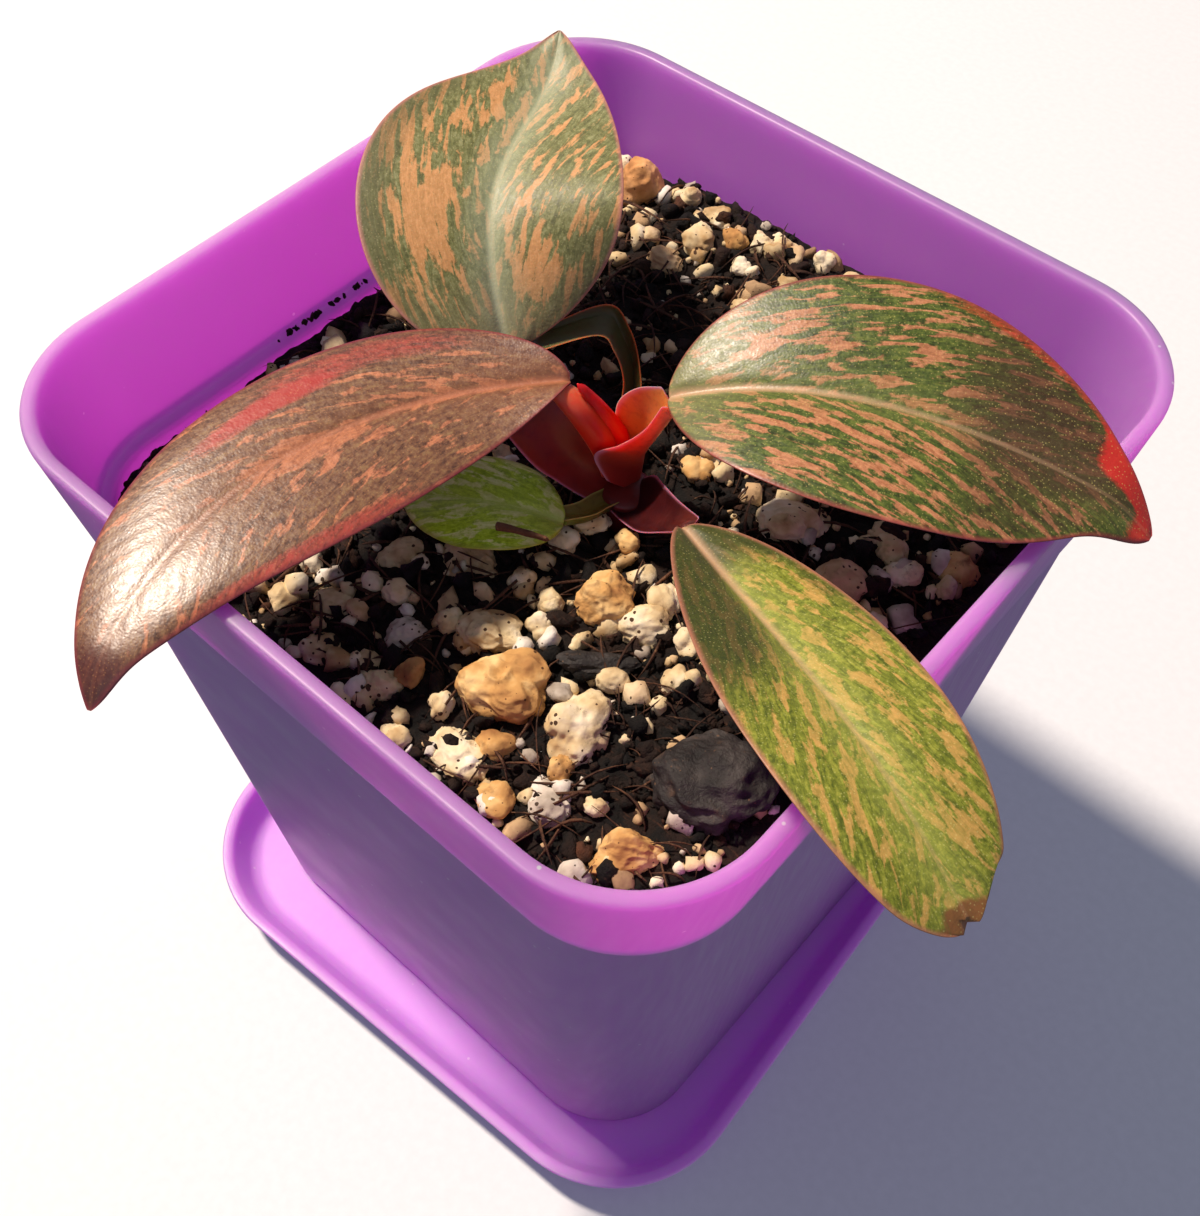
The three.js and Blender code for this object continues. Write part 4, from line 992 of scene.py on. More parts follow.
def blade(leaf):
    """Surface of a leaf, its vein coordinates, and per point its distances from midrib and margin in mm.

    Along the midrib s runs from 0 to 1. Half width = greatest width x s^a (1-s)^b, scaled to 1 at its peak.
    Across, v runs from -1 to 1. A half rises by fold |v| + curl v^2 of its width, with a little quilting between
    the veins. Near the tip, droop bends the blade down, point draws it forward and tear frays it back.
    """
    s = (0.5 - 0.5 * np.cos(np.pi * np.linspace(0.035, 0.965, BLADE_ROWS)))[:, None]
    over = -np.sin(np.linspace(0, 2 * np.pi, BLADE_COLUMNS, endpoint=False))[None]
    v = np.cos(np.linspace(0, 2 * np.pi, BLADE_COLUMNS, endpoint=False))[None] * (1 - 0.3 * over ** 2)
    place, along, length = even_curve(lambda t: bezier(leaf["midrib"], t), s[:, 0])
    level_side = np.cross(along, (0, 0, 1))
    level_side /= np.linalg.norm(level_side, axis=1, keepdims=True)
    roll = np.radians(np.interp(s[:, 0], [0, 1], leaf["roll"]))[:, None]
    side = level_side * np.cos(roll) + np.cross(level_side, along) * np.sin(roll)
    up = np.cross(side, along)
    a, b = leaf["fullness"]
    peak = a / (a + b)
    outline = s ** a * (1 - s) ** b / (peak ** a * (1 - peak) ** b)
    first = np.where(v > 0, leaf["right"][0], leaf["left"][0])
    second = np.where(v > 0, leaf["right"][1], leaf["left"][1])
    width = leaf["half_width"] * outline * (1 + first * np.cos(np.pi * s) + second * np.cos(2 * np.pi * s))
    across = v * width
    fold = np.interp(s, [0, 1], leaf["fold"]) + leaf["hood"] * np.exp(-s / 0.06)
    curl = np.interp(s, [0, 1], leaf["curl"])
    rise = width * (fold * np.sqrt(v ** 2 + 0.0016) + curl * v ** 2)
    flow = length * s - VEIN_SLANT * np.abs(across) - VEIN_SWEEP * across ** 2
    quilt = 0.012 * np.cos(2 * np.pi * flow / VEIN_SPACING) * smooth_step(0.02, 0.3, np.abs(v)) * (1 - v ** 2)
    wave_place = np.stack(np.broadcast_arrays(5.0 * s, 1.5 * v, 0.0 * s), -1)
    wave = leaf["wave"] * noise(wave_place, leaf["seed"]) * np.abs(v)
    groove = -0.22 * np.exp(-(across / 0.5) ** 2) * (1 - s)
    ridge = -0.9 * np.exp(-(across / 0.75) ** 2) * (1 - s) ** 1.2 * np.abs(over)
    half_sheet = 0.5 * BLADE_THICKNESS * np.abs(over) ** 0.6 * np.sign(over) * smooth_step(0, 1.2, width)
    lift = rise + half_sheet + quilt + wave + np.where(over > 0, groove, ridge)
    lift = lift - leaf["droop"] * smooth_step(0.9, 1.0, s) ** 2
    backward = leaf["tear"] * smooth_step(0.9, 0.98, s) * (0.5 + 0.5 * noise(np.stack([6 * v, 0 * v, 0 * v], -1), 9))
    points = place[:, None] + side[:, None] * across[..., None] + up[:, None] * lift[..., None]
    forward = leaf["point"] * smooth_step(0.88, 1.0, s) ** 2
    points = points + along[:, None] * (forward - length * backward)[..., None]

    def per_point(values):
        flat = np.broadcast_to(values, lift.shape)
        return np.concatenate([flat.ravel(), flat[[0, -1]].mean(axis=1)])

    veins = np.stack([per_point(flow), per_point(1.6 * np.abs(across) + np.where(v > 0, 40.0, 0.0))], 1)
    numbers = {
        "along": per_point(s), "half": per_point(v), "rib_mm": per_point(np.abs(across)),
        "edge_mm": per_point(width - np.abs(across)), "under": per_point(smooth_step(0.2, -0.2, over)),
    }
    numbers["edge_mm"][-2:] = 0
    return closed_skin(points), veins, numbers


print("a blade has", BLADE_ROWS, "x", BLADE_COLUMNS, "points")

# %% [markdown]
# ## Marks
# The mottling follows the side veins: sectors without green grow out from the midrib as jagged salmon
# patches, and single cells of one colour are sprinkled through the other. The UV map holds the distance
# across and along the side veins, in mm, so noise stretched in it gives streaks that lie the way the leaf
# grew. Chance alone wouldn't put the largest patches, red flushes and marks of painted shade in their places,
# so these few are listed as soft spots. The painted shade darkens parts of blades that lie in shadow and that turn
# away from the light.

# %% Marks listed one by one
def marked(numbers, marks):
    """Sum of soft spots in the leaf's own s and v, each exp(-(along / length)^4 - (across / breadth)^4)."""
    s, v = numbers["along"], numbers["half"]
    total = np.zeros(len(s))
    for along, across, length, breadth, slant, weight in marks:
        ds = s - along - slant * (v - across)
        total += weight * np.exp(-(ds / length) ** 4 - ((v - across) / breadth) ** 4)
    return np.clip(total, -1, 1)


middle = {"along": np.array([0.5]), "half": np.array([0.0])}
print("a mark weighs", marked(middle, [(0.5, 0.0, 0.1, 0.2, 0.0, 0.8)])[0], "at its middle")

# %% [markdown]
# ## Mottled tissue
# A leaf's colour sits inside its tissue, under the waxy skin. Where cells carry no green, the salmon or
# amber shows. Both kinds are drawn by noise in the vein map: long sectors first, then cells, then a grain
# that frays the edges.

# %% Green and pale tissue
def tissue(node, place, number, colours, patchiness):
    """Top colour of the tissue, with the cell, grain and depth noises that later steps use again.

    Patch where sector + 0.26 cell + 0.22 grain + 0.22 mark passes a limit. The map's unit is 1 mm: a slow noise
    bends it by up to 3 mm, sectors are about 2 mm wide, cells 0.9 mm, and the grain 0.43 mm.
    """
    veins = node("ShaderNodeUVMap", uv_map="veins").outputs["UV"]
    bent = node("ShaderNodeTexNoise", {"Vector": veins, "Scale": 0.45, "Detail": 3.0}).outputs["Color"]
    shift = node("ShaderNodeVectorMath", {0: bent, 1: (3.4, 2.6, 0.0)}, operation="MULTIPLY").outputs[0]
    warped = node("ShaderNodeVectorMath", {0: veins, 1: shift}, operation="ADD").outputs[0]
    streaks = node("ShaderNodeMapping", {"Vector": warped, "Scale": (0.46, 0.60, 1.0)}).outputs[0]
    sector = node("ShaderNodeTexNoise", {"Vector": streaks, "Scale": 1.0, "Detail": 2.0, "Roughness": 0.5})
    cells = node("ShaderNodeMapping", {"Vector": warped, "Scale": (1.2, 1.1, 1.0)}).outputs[0]
    cell = node("ShaderNodeTexNoise", {"Vector": cells, "Scale": 1.0, "Detail": 4.0, "Roughness": 0.75})
    cell = cell.outputs["Fac"]
    grain = node("ShaderNodeTexNoise", {
        "Vector": place, "Scale": grains_of(0.4348), "Detail": 4.0, "Roughness": 0.75,
    }).outputs["Fac"]
    hand = node("ShaderNodeMath", {0: number["patch"], 1: 0.22, 2: sector.outputs["Fac"]}, operation="MULTIPLY_ADD")
    sprinkled = node("ShaderNodeMath", {0: cell, 1: 0.26, 2: hand.outputs[0]}, operation="MULTIPLY_ADD").outputs[0]
    broken = node("ShaderNodeMath", {0: grain, 1: 0.22, 2: sprinkled}, operation="MULTIPLY_ADD").outputs[0]
    limit = 0.80 - 0.2 * patchiness
    patch = node("ShaderNodeMapRange", {0: broken, 1: limit, 2: limit + 0.07}).outputs[0]

    tone = node("ShaderNodeTexNoise", {"Vector": streaks, "Scale": 2.3, "Detail": 4.0, "Roughness": 0.7})
    depth = node("ShaderNodeMix", {0: 0.42, 2: tone.outputs["Fac"], 3: grain}, data_type="FLOAT").outputs[0]
    ground = node("ShaderNodeValToRGB", {"Fac": depth}, stops=[
        (0.40, colours["deep"]), (0.50, colours["ground"]), (0.61, colours["light"]),
    ]).outputs["Color"]
    pale = node("ShaderNodeValToRGB", {"Fac": depth}, stops=[
        (0.41, colours["patch_deep"]), (0.58, colours["patch"]),
    ]).outputs["Color"]
    top = node("ShaderNodeMix", {0: patch, 6: ground, 7: pale}, data_type="RGBA").outputs[2]
    return top, cell, grain, depth


print("sectors are", round(1 / 0.46, 1), "by", round(1 / 0.60, 1), "mm, cells", round(1 / 1.2, 1), "mm")

# %% [markdown]
# ## Marks in the tissue
# Over the mottling lie a pale halo along the midrib, a dull tone at the leaf's foot, painted shade, red
# flushes, and painted glints: light specks that stand in for single cells catching the light. Each is laid on
# as a share of its own colour, as glazes are in paint.

# %% Halo, painted shade, flush and painted glints
def glazed(node, place, number, colours, sparkle, top, cell, depth):
    """Each glaze mixes top with its colour by a share: halo near the rib, base, painted shade, flush, then painted
    glints 0.26 mm apart, specks of colour for cells catching the light. The noises cell and depth break up their
    edges."""
    near_rib = node("ShaderNodeMath", {0: cell, 1: -3.0, 2: number["rib_mm"]}, operation="MULTIPLY_ADD").outputs[0]
    halo = node("ShaderNodeMapRange", {0: near_rib, 1: 1.4, 2: -1.2, 3: 0.0, 4: colours["halo_share"]}).outputs[0]
    base = node("ShaderNodeMapRange", {0: number["along"], 1: 0.22, 2: 0.0, 3: 0.0, 4: colours["base_share"]})
    # painted shade: the shade marks darken parts of the blade that lie in shadow and that turn away from the light
    dark = node("ShaderNodeMath", {0: number["shade"], 1: cell}, operation="ADD").outputs[0]
    dark = node("ShaderNodeMapRange", {0: dark, 1: 0.55, 2: 1.25, 3: 0.0, 4: 0.85}).outputs[0]
    flush = node("ShaderNodeMath", {0: number["flush"], 1: depth}, operation="ADD").outputs[0]
    flush = node("ShaderNodeMapRange", {0: flush, 1: 0.75, 2: 1.05, 3: 0.0, 4: 0.9}).outputs[0]
    # painted glints: light specks in the colour that stand in for the sparkle of single cells
    glint = node("ShaderNodeTexVoronoi", {"Vector": place, "Scale": grains_of(0.2632)}).outputs["Distance"]
    painted_glint = node("ShaderNodeMapRange", {0: glint, 1: 0.12, 2: 0.26, 3: 0.6 * sparkle, 4: 0.0}).outputs[0]
    glazes = {"halo": halo, "base": base.outputs[0], "shade": dark, "flush": flush, "painted_glint": painted_glint}
    for key, share in glazes.items():
        top = node("ShaderNodeMix", {0: share, 6: top, 7: linear(colours[key])}, data_type="RGBA").outputs[2]
    return top


# spacing of the painted glints
print("flecks are", round(1000 / grains_of(0.2632), 2), "mm apart")

# %% [markdown]
# ## The waxy skin
# The skin over the tissue is thin wax on beaded cells: glossy, with a sparkle that breaks up as it crosses
# them. A little light passes through the blade. The real beads are finer than a hundredth of a millimetre.
# They are drawn 0.2 mm wide, or the render wouldn't show them.

# %% Living leaf skin
def leaf_skin(name, colours, patchiness, gloss, specular, sparkle):
    """Tissue and its glazes, then the rib line, the underside, the coloured margin, and beads and puckers as bump."""
    material, node, shader = new_material(
        name, IOR=1.45, Specular_IOR_Level=specular, Subsurface_Weight=0.08,
        Subsurface_Radius=(1.0, 0.5, 0.15), Subsurface_Scale=0.6 * MM,
    )
    place = node("ShaderNodeTexCoord").outputs["Object"]
    number = {
        key: node("ShaderNodeAttribute", attribute_name=key).outputs["Fac"]
        for key in ("along", "rib_mm", "edge_mm", "under", "patch", "flush", "shade")
    }
    top, cell, grain, depth = tissue(node, place, number, colours, patchiness)
    top = glazed(node, place, number, colours, sparkle, top, cell, depth)
    rib_fade = node("ShaderNodeMapRange", {0: number["along"], 1: 0.95, 2: 0.05, 3: 0.7, 4: 0.12}).outputs[0]
    rib_line = node("ShaderNodeMapRange", {0: number["rib_mm"], 1: 0.65, 2: 0.1, 3: 0.0, 4: 0.8}).outputs[0]
    rib_line = node("ShaderNodeMath", {0: rib_line, 1: rib_fade}, operation="SUBTRACT", use_clamp=True).outputs[0]
    top = node("ShaderNodeMix", {0: rib_line, 6: top, 7: linear(colours["rib"])}, data_type="RGBA").outputs[2]
    below = node("ShaderNodeMix", {0: 0.55, 6: top, 7: linear(colours["under"])}, data_type="RGBA").outputs[2]
    both = node("ShaderNodeMix", {0: number["under"], 6: top, 7: below}, data_type="RGBA").outputs[2]
    margin = node("ShaderNodeMapRange", {0: number["edge_mm"], 1: 0.45, 2: 0.08, 3: 0.0, 4: 0.75}).outputs[0]
    colour = node("ShaderNodeMix", {0: margin, 6: both, 7: linear(colours["margin"])}, data_type="RGBA").outputs[2]

    beads = node("ShaderNodeTexVoronoi", {"Vector": place, "Scale": grains_of(0.1923)}, feature="SMOOTH_F1")
    waxy = node("ShaderNodeBump", {"Height": beads.outputs["Distance"], "Strength": 0.5, "Distance": 0.025 * MM})
    pucker = node("ShaderNodeTexNoise", {"Vector": place, "Scale": grains_of(0.909), "Detail": 3.0}).outputs["Fac"]
    skin = node("ShaderNodeBump", {
        "Height": pucker, "Strength": 0.3, "Distance": 0.10 * MM, "Normal": waxy.outputs[0],
    }).outputs[0]
    shine = node("ShaderNodeMapRange", {0: grain, 1: 0.35, 2: 0.65, 3: gloss[0], 4: gloss[1]}).outputs[0]
    connect(material, shader, Base_Color=colour, Roughness=shine, Normal=skin)
    return material


print("wax beads:", round(1000 / grains_of(0.1923), 2), "mm")

# %% [markdown]
# ## The five leaves
# Five leaves, each with the same curves as its solid. The left leaf is bronze with a salmon sector and red
# streaks, the right one green with salmon patches, the far one olive and amber, the near one yellow-green,
# and the small old one beside the crown is lime with cream blotches, its colours lightened to paint sunlight.

# %% The five leaves
# Each mark is: place along, place across, length, breadth, slant, weight. Right and left are the two halves of the
# blade, and the two numbers of a half bend its outline. Pairs of fold, curl and roll are at the foot and at the tip.
# Each leaf's dark spots of shade and their colour are painted shade: they darken the blade where other leaves shadow
# it and where it turns away from the light.
LEAVES = {
    "leaf_left": dict(
        midrib=[[-1.0, -2.3, 77.0], [-11.8, -14.7, 77.4], [-12.3, -31.2, 81.6], [-6.2, -44.8, 75.9]],
        half_width=8.2, fullness=(0.72, 0.88), right=(-0.001, 0.072), left=(-0.035, -0.027),
        fold=(0.16, 0.04), curl=(-0.11, -0.14), roll=(10, -2), hood=0.5,
        wave=0.3, droop=1.2, tear=0, point=0.8, seed=3,
        slot="leaf_bronze", patchiness=-0.12, gloss=(0.32, 0.46), specular=1.0, sparkle=0.35,
        colours=dict(
            deep="4c2c1a", ground="70482e", light="86643c", patch_deep="8e5438", patch="c07850",
            base="8c5436", base_share=0.3, shade="4a1c1a", flush="a82c26", painted_glint="d8a060",
            rib="b06c4c", halo="84502f", halo_share=0.3, under="8a2c30", margin="7d1f2c",
        ),
        patches=[
            (0.46, -0.12, 0.10, 0.16, 0.05, 1.0), (0.52, 0.05, 0.06, 0.10, 0.05, 0.8),
            (0.2, 0.05, 0.12, 0.15, 0, 0.7),
        ],
        flushes=[
            (0.5, 0.6, 0.13, 0.12, 0.12, 0.5), (0.32, 0.75, 0.2, 0.2, 0, 0.4), (0.6, -0.92, 0.3, 0.1, 0, 0.45),
        ],
        painted_shades=[(0.98, 0.0, 0.06, 1.2, 0, 0.9), (0.2, 0.85, 0.3, 0.25, 0, 0.35)],
    ),
    "leaf_right": dict(
        midrib=[[6.3, 0.4, 78.0], [16.0, 6.5, 83.2], [26.5, 12.1, 79.8], [38.6, 13.5, 78.5]],
        half_width=10.6, fullness=(0.66, 0.78), right=(-0.007, 0.039), left=(-0.013, -0.004),
        fold=(0.35, 0.12), curl=(-0.1, -0.12), roll=(-9, -8), hood=0.0,
        wave=0.25, droop=1.8, tear=0, point=1.6, seed=5,
        slot="leaf_green_salmon", patchiness=0.18, gloss=(0.34, 0.5), specular=0.6, sparkle=0.5,
        colours=dict(
            deep="29330a", ground="435317", light="67702a", patch_deep="945e3c", patch="bc805a",
            base="a89c74", base_share=0.35, shade="3a2414", flush="b8241c", painted_glint="d8c878",
            rib="c8a080", halo="7c8444", halo_share=0.25, under="b08a60", margin="8c3038",
        ),
        patches=[(0.2, -0.5, 0.05, 0.2, 0, 0.6), (0.45, 0.5, 0.25, 0.4, 0, 0.2)],
        flushes=[
            (0.94, -0.7, 0.07, 0.4, 0, 0.85), (1.0, 0.0, 0.035, 1.2, 0, 0.9), (0.7, -0.95, 0.25, 0.08, 0, 0.4),
        ],
        painted_shades=[(0.8, -0.4, 0.22, 0.6, 0, 0.75), (0.8, 0.5, 0.16, 0.5, 0, 0.5)],
    ),
    "leaf_back": dict(
        midrib=[[-8.4, -1.9, 74.9], [-18.3, 2.9, 88.1], [-18.0, 12.8, 80.2], [-22.6, 20.0, 86.3]],
        half_width=10.7, fullness=(0.55, 0.92), right=(-0.059, 0.007), left=(-0.046, -0.01),
        fold=(0.2, 0.3), curl=(0.0, -0.1), roll=(-3, -4), hood=0.0,
        wave=0.25, droop=0.0, tear=0, point=0.6, seed=8,
        slot="leaf_olive", patchiness=0.12, gloss=(0.46, 0.62), specular=0.6, sparkle=0.3,
        colours=dict(
            deep="4e5028", ground="6a6c3c", light="8a8a5e", patch_deep="b0804c", patch="cc9460",
            base="b8a880", base_share=0.4, shade="4c4a26", flush="c87058", painted_glint="e0d0a0",
            rib="b4b898", halo="a8b094", halo_share=0.45, under="b09878", margin="b06a68",
        ),
        patches=[
            (0.33, -0.5, 0.12, 0.2, 0.1, 1.0), (0.5, -0.75, 0.08, 0.12, 0, 0.8), (0.2, 0.35, 0.1, 0.2, 0, 0.7),
            (0.65, -0.3, 0.05, 0.1, 0, 0.7), (0.75, -0.5, 0.05, 0.1, 0, 0.7),
        ],
        flushes=[], painted_shades=[(0.45, -1.0, 0.4, 0.25, 0, 0.6), (0.2, 0.9, 0.2, 0.3, 0, 0.4)],
    ),
    "leaf_front": dict(
        midrib=[[13.2, -6.0, 74.3], [27.1, -11.4, 76.2], [35.9, -17.4, 86.0], [47.1, -20.7, 78.1]],
        half_width=6.7, fullness=(0.61, 0.47), right=(-0.032, -0.062), left=(-0.029, 0.018),
        fold=(0.5, 0.08), curl=(-0.15, -0.08), roll=(8, 8), hood=0.0,
        wave=0.2, droop=0.0, tear=0.035, point=0, seed=13,
        slot="leaf_yellow_green", patchiness=0.20, gloss=(0.36, 0.5), specular=0.5, sparkle=0.4,
        colours=dict(
            deep="4a5414", ground="6e7622", light="949638", patch_deep="96803c", patch="bc9450",
            base="7a6a44", base_share=0.4, shade="2c3410", flush="7a4a2c", painted_glint="e0d890",
            rib="c8a080", halo="a8b058", halo_share=0.3, under="a89a58", margin="a86a58",
        ),
        patches=[(0.85, -0.55, 0.03, 0.2, 0, 1.0)], flushes=[(1.0, 0.0, 0.035, 1.2, 0, 0.7)],
        painted_shades=[
            (0.02, 0.0, 0.14, 1.6, 0, 0.9), (0.27, 0.7, 0.24, 0.62, 0.1, 1.0), (0.2, -0.95, 0.25, 0.2, 0, 0.5),
        ],
    ),
    # The small old leaf is lime, and its colours are made lighter still to paint the sunlight that falls on it.
    "leaf_old_small": dict(
        midrib=[[2.9, -7.6, 67.5], [-0.3, -9.5, 69.0], [-4.6, -12.1, 69.0], [-8.3, -14.4, 67.7]],
        half_width=4.7, fullness=(0.55, 0.6), right=(0, 0), left=(0, 0),
        fold=(0.15, 0.15), curl=(-0.1, -0.2), roll=(2, 2), hood=0.0,
        wave=0.3, droop=0.0, tear=0, point=0, seed=21,
        slot="leaf_lime", patchiness=0.3, gloss=(0.36, 0.5), specular=0.5, sparkle=0.15,
        colours=dict(
            deep="86a414", ground="b0cc24", light="d2e84a", patch_deep="ccd468", patch="e8e8a0",
            base="8a8a3c", base_share=0.5, shade="3c5010", flush="6a6a28", painted_glint="e8f0a8",
            rib="b8c860", halo="b8c860", halo_share=0.3, under="a8b848", margin="98a030",
        ),
        patches=[], flushes=[], painted_shades=[],
    ),
}
print("leaves:", ", ".join(LEAVES))

# %% [markdown]
# ## Growing the blades
# Each leaf gets its surface, its marks and a skin of its own, because no two of them share a colour.

# %% Five blades
for name, leaf in LEAVES.items():
    surface, veins, numbers = blade(leaf)
    for key, marks in (("patch", leaf["patches"]), ("flush", leaf["flushes"]), ("shade", leaf["painted_shades"])):
        numbers[key] = marked(numbers, marks)
    finish = leaf["gloss"], leaf["specular"], leaf["sparkle"]
    skin = leaf_skin(name + "_skin", leaf["colours"], leaf["patchiness"], *finish)
    add_piece(name + "_blade", surface, skin, leaf["slot"], [name], veins=veins, **numbers)

# %% [markdown]
# ## The crown
# The leaf stalks are short, fleshy and winged, so each wraps the younger one like an open gutter. Such a
# channel is given by three lines from its foot to its top: one rim, the keel and the other rim. They keep
# close to the lines of the solid, so the pieces meet the blades where the solids do. A round rod along a
# path makes the plain shapes.

# %% Smooth curves through points
def through(points):
    """A smooth curve through points, by cubic pieces whose slopes are half the distance between the neighbours."""
    points = np.array(points, float)
    padded = np.vstack([2 * points[0] - points[1], points, 2 * points[-1] - points[-2]])

    def curve(t):
        place = np.clip(t * (len(points) - 1), 0, len(points) - 1 - 1e-9)
        k = place.astype(int)
        u = (place - k)[:, None]
        p0, p1, p2, p3 = (padded[k + step] for step in range(4))
        bend = (2 * p0 - 5 * p1 + 4 * p2 - p3) * u ** 2 + (3 * p1 - p0 - 3 * p2 + p3) * u ** 3
        return 0.5 * (2 * p1 + (p2 - p0) * u + bend)

    return curve


print("a smooth curve keeps its points:", through([[0, 0, 0], [1, 2, 0], [2, 0, 0]])(np.array([0.5]))[0])

# %% [markdown]
# ## Channels
# Across the channel the sheet bends like a parabola through the three lines, thickest at the keel and thin at the
# rims, and the ends are rounded off. Its two sides are told apart, as the hollow inside has its own colour.

# %% A winged channel
def channel(lines, rows=90, columns=72):
    """A winged stalk through its three lines, with per point its share of the length, its rim and its inside.

    Across, v runs from -1 to 1 on the parabola (1-v^2) keel + (v^2-v)/2 left + (v^2+v)/2 right. The section is a
    loop of the angle a with v = cos a, lifted off that sheet by sin a times half the thickness.
    """
    t = np.linspace(0, 1, rows)
    left, keel, right = (through(line)(t)[:, None] for line in lines)
    turn = np.linspace(0, 2 * np.pi, columns, endpoint=False)
    v, over = np.cos(turn)[None, :, None], np.sin(turn)[None, :, None]
    sheet = 0.5 * (v ** 2 - v) * left + (1 - v ** 2) * keel + 0.5 * (v ** 2 + v) * right
    across = (v - 0.5) * left - 2 * v * keel + (v + 0.5) * right
    normal = np.cross(np.gradient(sheet, axis=0), across)
    normal /= np.linalg.norm(normal, axis=-1, keepdims=True)
    half = 0.5 * (0.32 + 0.6 * (1 - v ** 2))
    rings = sheet + normal * half * over
    close = np.sqrt(1 - 0.95 * smooth_step(0.94, 1.0, np.abs(2 * t - 1)))[:, None, None]
    rings = keel + (rings - keel) * close
    open_side = np.sign(np.sum(normal * (left + right - 2 * keel), axis=-1).mean())
    shape = rings.shape[:2]

    def per_point(values):
        flat = np.broadcast_to(values, shape)
        return np.concatenate([flat.ravel(), flat[[0, -1]].mean(axis=1)])

    numbers = {
        "height": per_point(t[:, None]), "rim": per_point(smooth_step(0.92, 0.995, np.abs(v[..., 0]))),
        "inside": per_point(smooth_step(-0.25, 0.25, open_side * over[..., 0])),
    }
    return closed_skin(rings), numbers


print("a channel of", len(channel([[[0, y, abs(y)], [4, y, abs(y)]] for y in (-1, 0, 1)])[0][0]), "points")

# %% [markdown]
# ## Rods
# Plain round shapes are rods: a circle carried along a path, with a radius that changes evenly.

# %% A round rod along a path
def swept(path, radii, columns=40, rows=60, flat=1.0):
    """A round rod along a path, its radius running from the first to the second value, with the ends closed."""
    t = np.linspace(0, 1, rows)
    place, along, _ = even_curve(through(path), t)
    across = np.cross((0.1, 0.95, 0.2), along)
    across /= np.linalg.norm(across, axis=1, keepdims=True)
    out = np.cross(along, across)
    turn = np.linspace(0, 2 * np.pi, columns, endpoint=False)
    radius = (radii[0] + (radii[1] - radii[0]) * t) * np.sqrt(1 - 0.97 * smooth_step(0.93, 1.0, t))
    x, y = radius[:, None] * np.cos(turn), flat * radius[:, None] * np.sin(turn)
    return closed_skin(place[:, None] + across[:, None] * x[..., None] + out[:, None] * y[..., None])


print("a straight rod has", len(swept([[0, 0, 0], [0, 0, 1], [0, 0, 2]], (1.0, 0.5))[0]), "points")

# %% [markdown]
# ## Red stalk flesh
# Stalk flesh is soft and full of water: red light goes right through the thin wings. The outside darkens to
# maroon and olive towards the foot, the hollow inside has its own tone, and a thin mauve line runs along
# each wing's rim.

# %% Red stalk flesh
def stalk_flesh(name, foot, body, top, inside, rim, scatter, glow_radius=(1.0, 0.18, 0.1)):
    """Smooth fleshy skin: satin, strongly scattering red, with clouds of 2 mm inside and a mottle of half a mm.

    The colours are those of the foot, the middle and the top of the outside, of the hollow inside, and of the rim.
    """
    material, node, shader = new_material(
        name, Roughness=0.36, IOR=1.4, Specular_IOR_Level=0.5,
        Subsurface_Weight=0.8, Subsurface_Radius=glow_radius, Subsurface_Scale=scatter * MM,
    )
    place = node("ShaderNodeTexCoord").outputs["Object"]
    number = {
        key: node("ShaderNodeAttribute", attribute_name=key).outputs["Fac"] for key in ("height", "rim", "inside")
    }
    outer = node("ShaderNodeValToRGB", {"Fac": number["height"]}, stops=[(0.22, foot), (0.62, body), (0.96, top)])
    outer = outer.outputs["Color"]
    clouds = node("ShaderNodeTexNoise", {"Vector": place, "Scale": grains_of(2.0), "Detail": 3.0}).outputs["Fac"]
    share = node("ShaderNodeMapRange", {0: clouds, 1: 0.3, 2: 0.7, 3: 0.65, 4: 1.0}).outputs[0]
    share = node("ShaderNodeMath", {0: share, 1: number["inside"]}, operation="MULTIPLY").outputs[0]
    colour = node("ShaderNodeMix", {0: share, 6: outer, 7: linear(inside)}, data_type="RGBA").outputs[2]
    mottle = node("ShaderNodeTexNoise", {"Vector": place, "Scale": grains_of(0.5263), "Detail": 3.0}).outputs["Fac"]
    spot = node("ShaderNodeMapRange", {0: mottle, 1: 0.5, 2: 0.7, 3: 0.0, 4: 0.3}).outputs[0]
    colour = node("ShaderNodeMix", {0: spot, 6: colour, 7: linear(foot)}, data_type="RGBA").outputs[2]
    colour = node("ShaderNodeMix", {0: number["rim"], 6: colour, 7: linear(rim)}, data_type="RGBA").outputs[2]
    bump = node("ShaderNodeBump", {"Height": mottle, "Strength": 0.2, "Distance": 0.08 * MM}).outputs[0]
    connect(material, shader, Base_Color=colour, Normal=bump)
    return material


print("mottle of the stalks:", round(1000 / grains_of(0.5263), 2), "mm")

# %% [markdown]
# ## The winged stalks
# Five leaves have five stalks, and the left leaf's has a bright red inner strap as well. The oldest,
# outermost ones are the darkest. Each is one channel with its own colours, because on the plant each is a
# leaf of its own age.

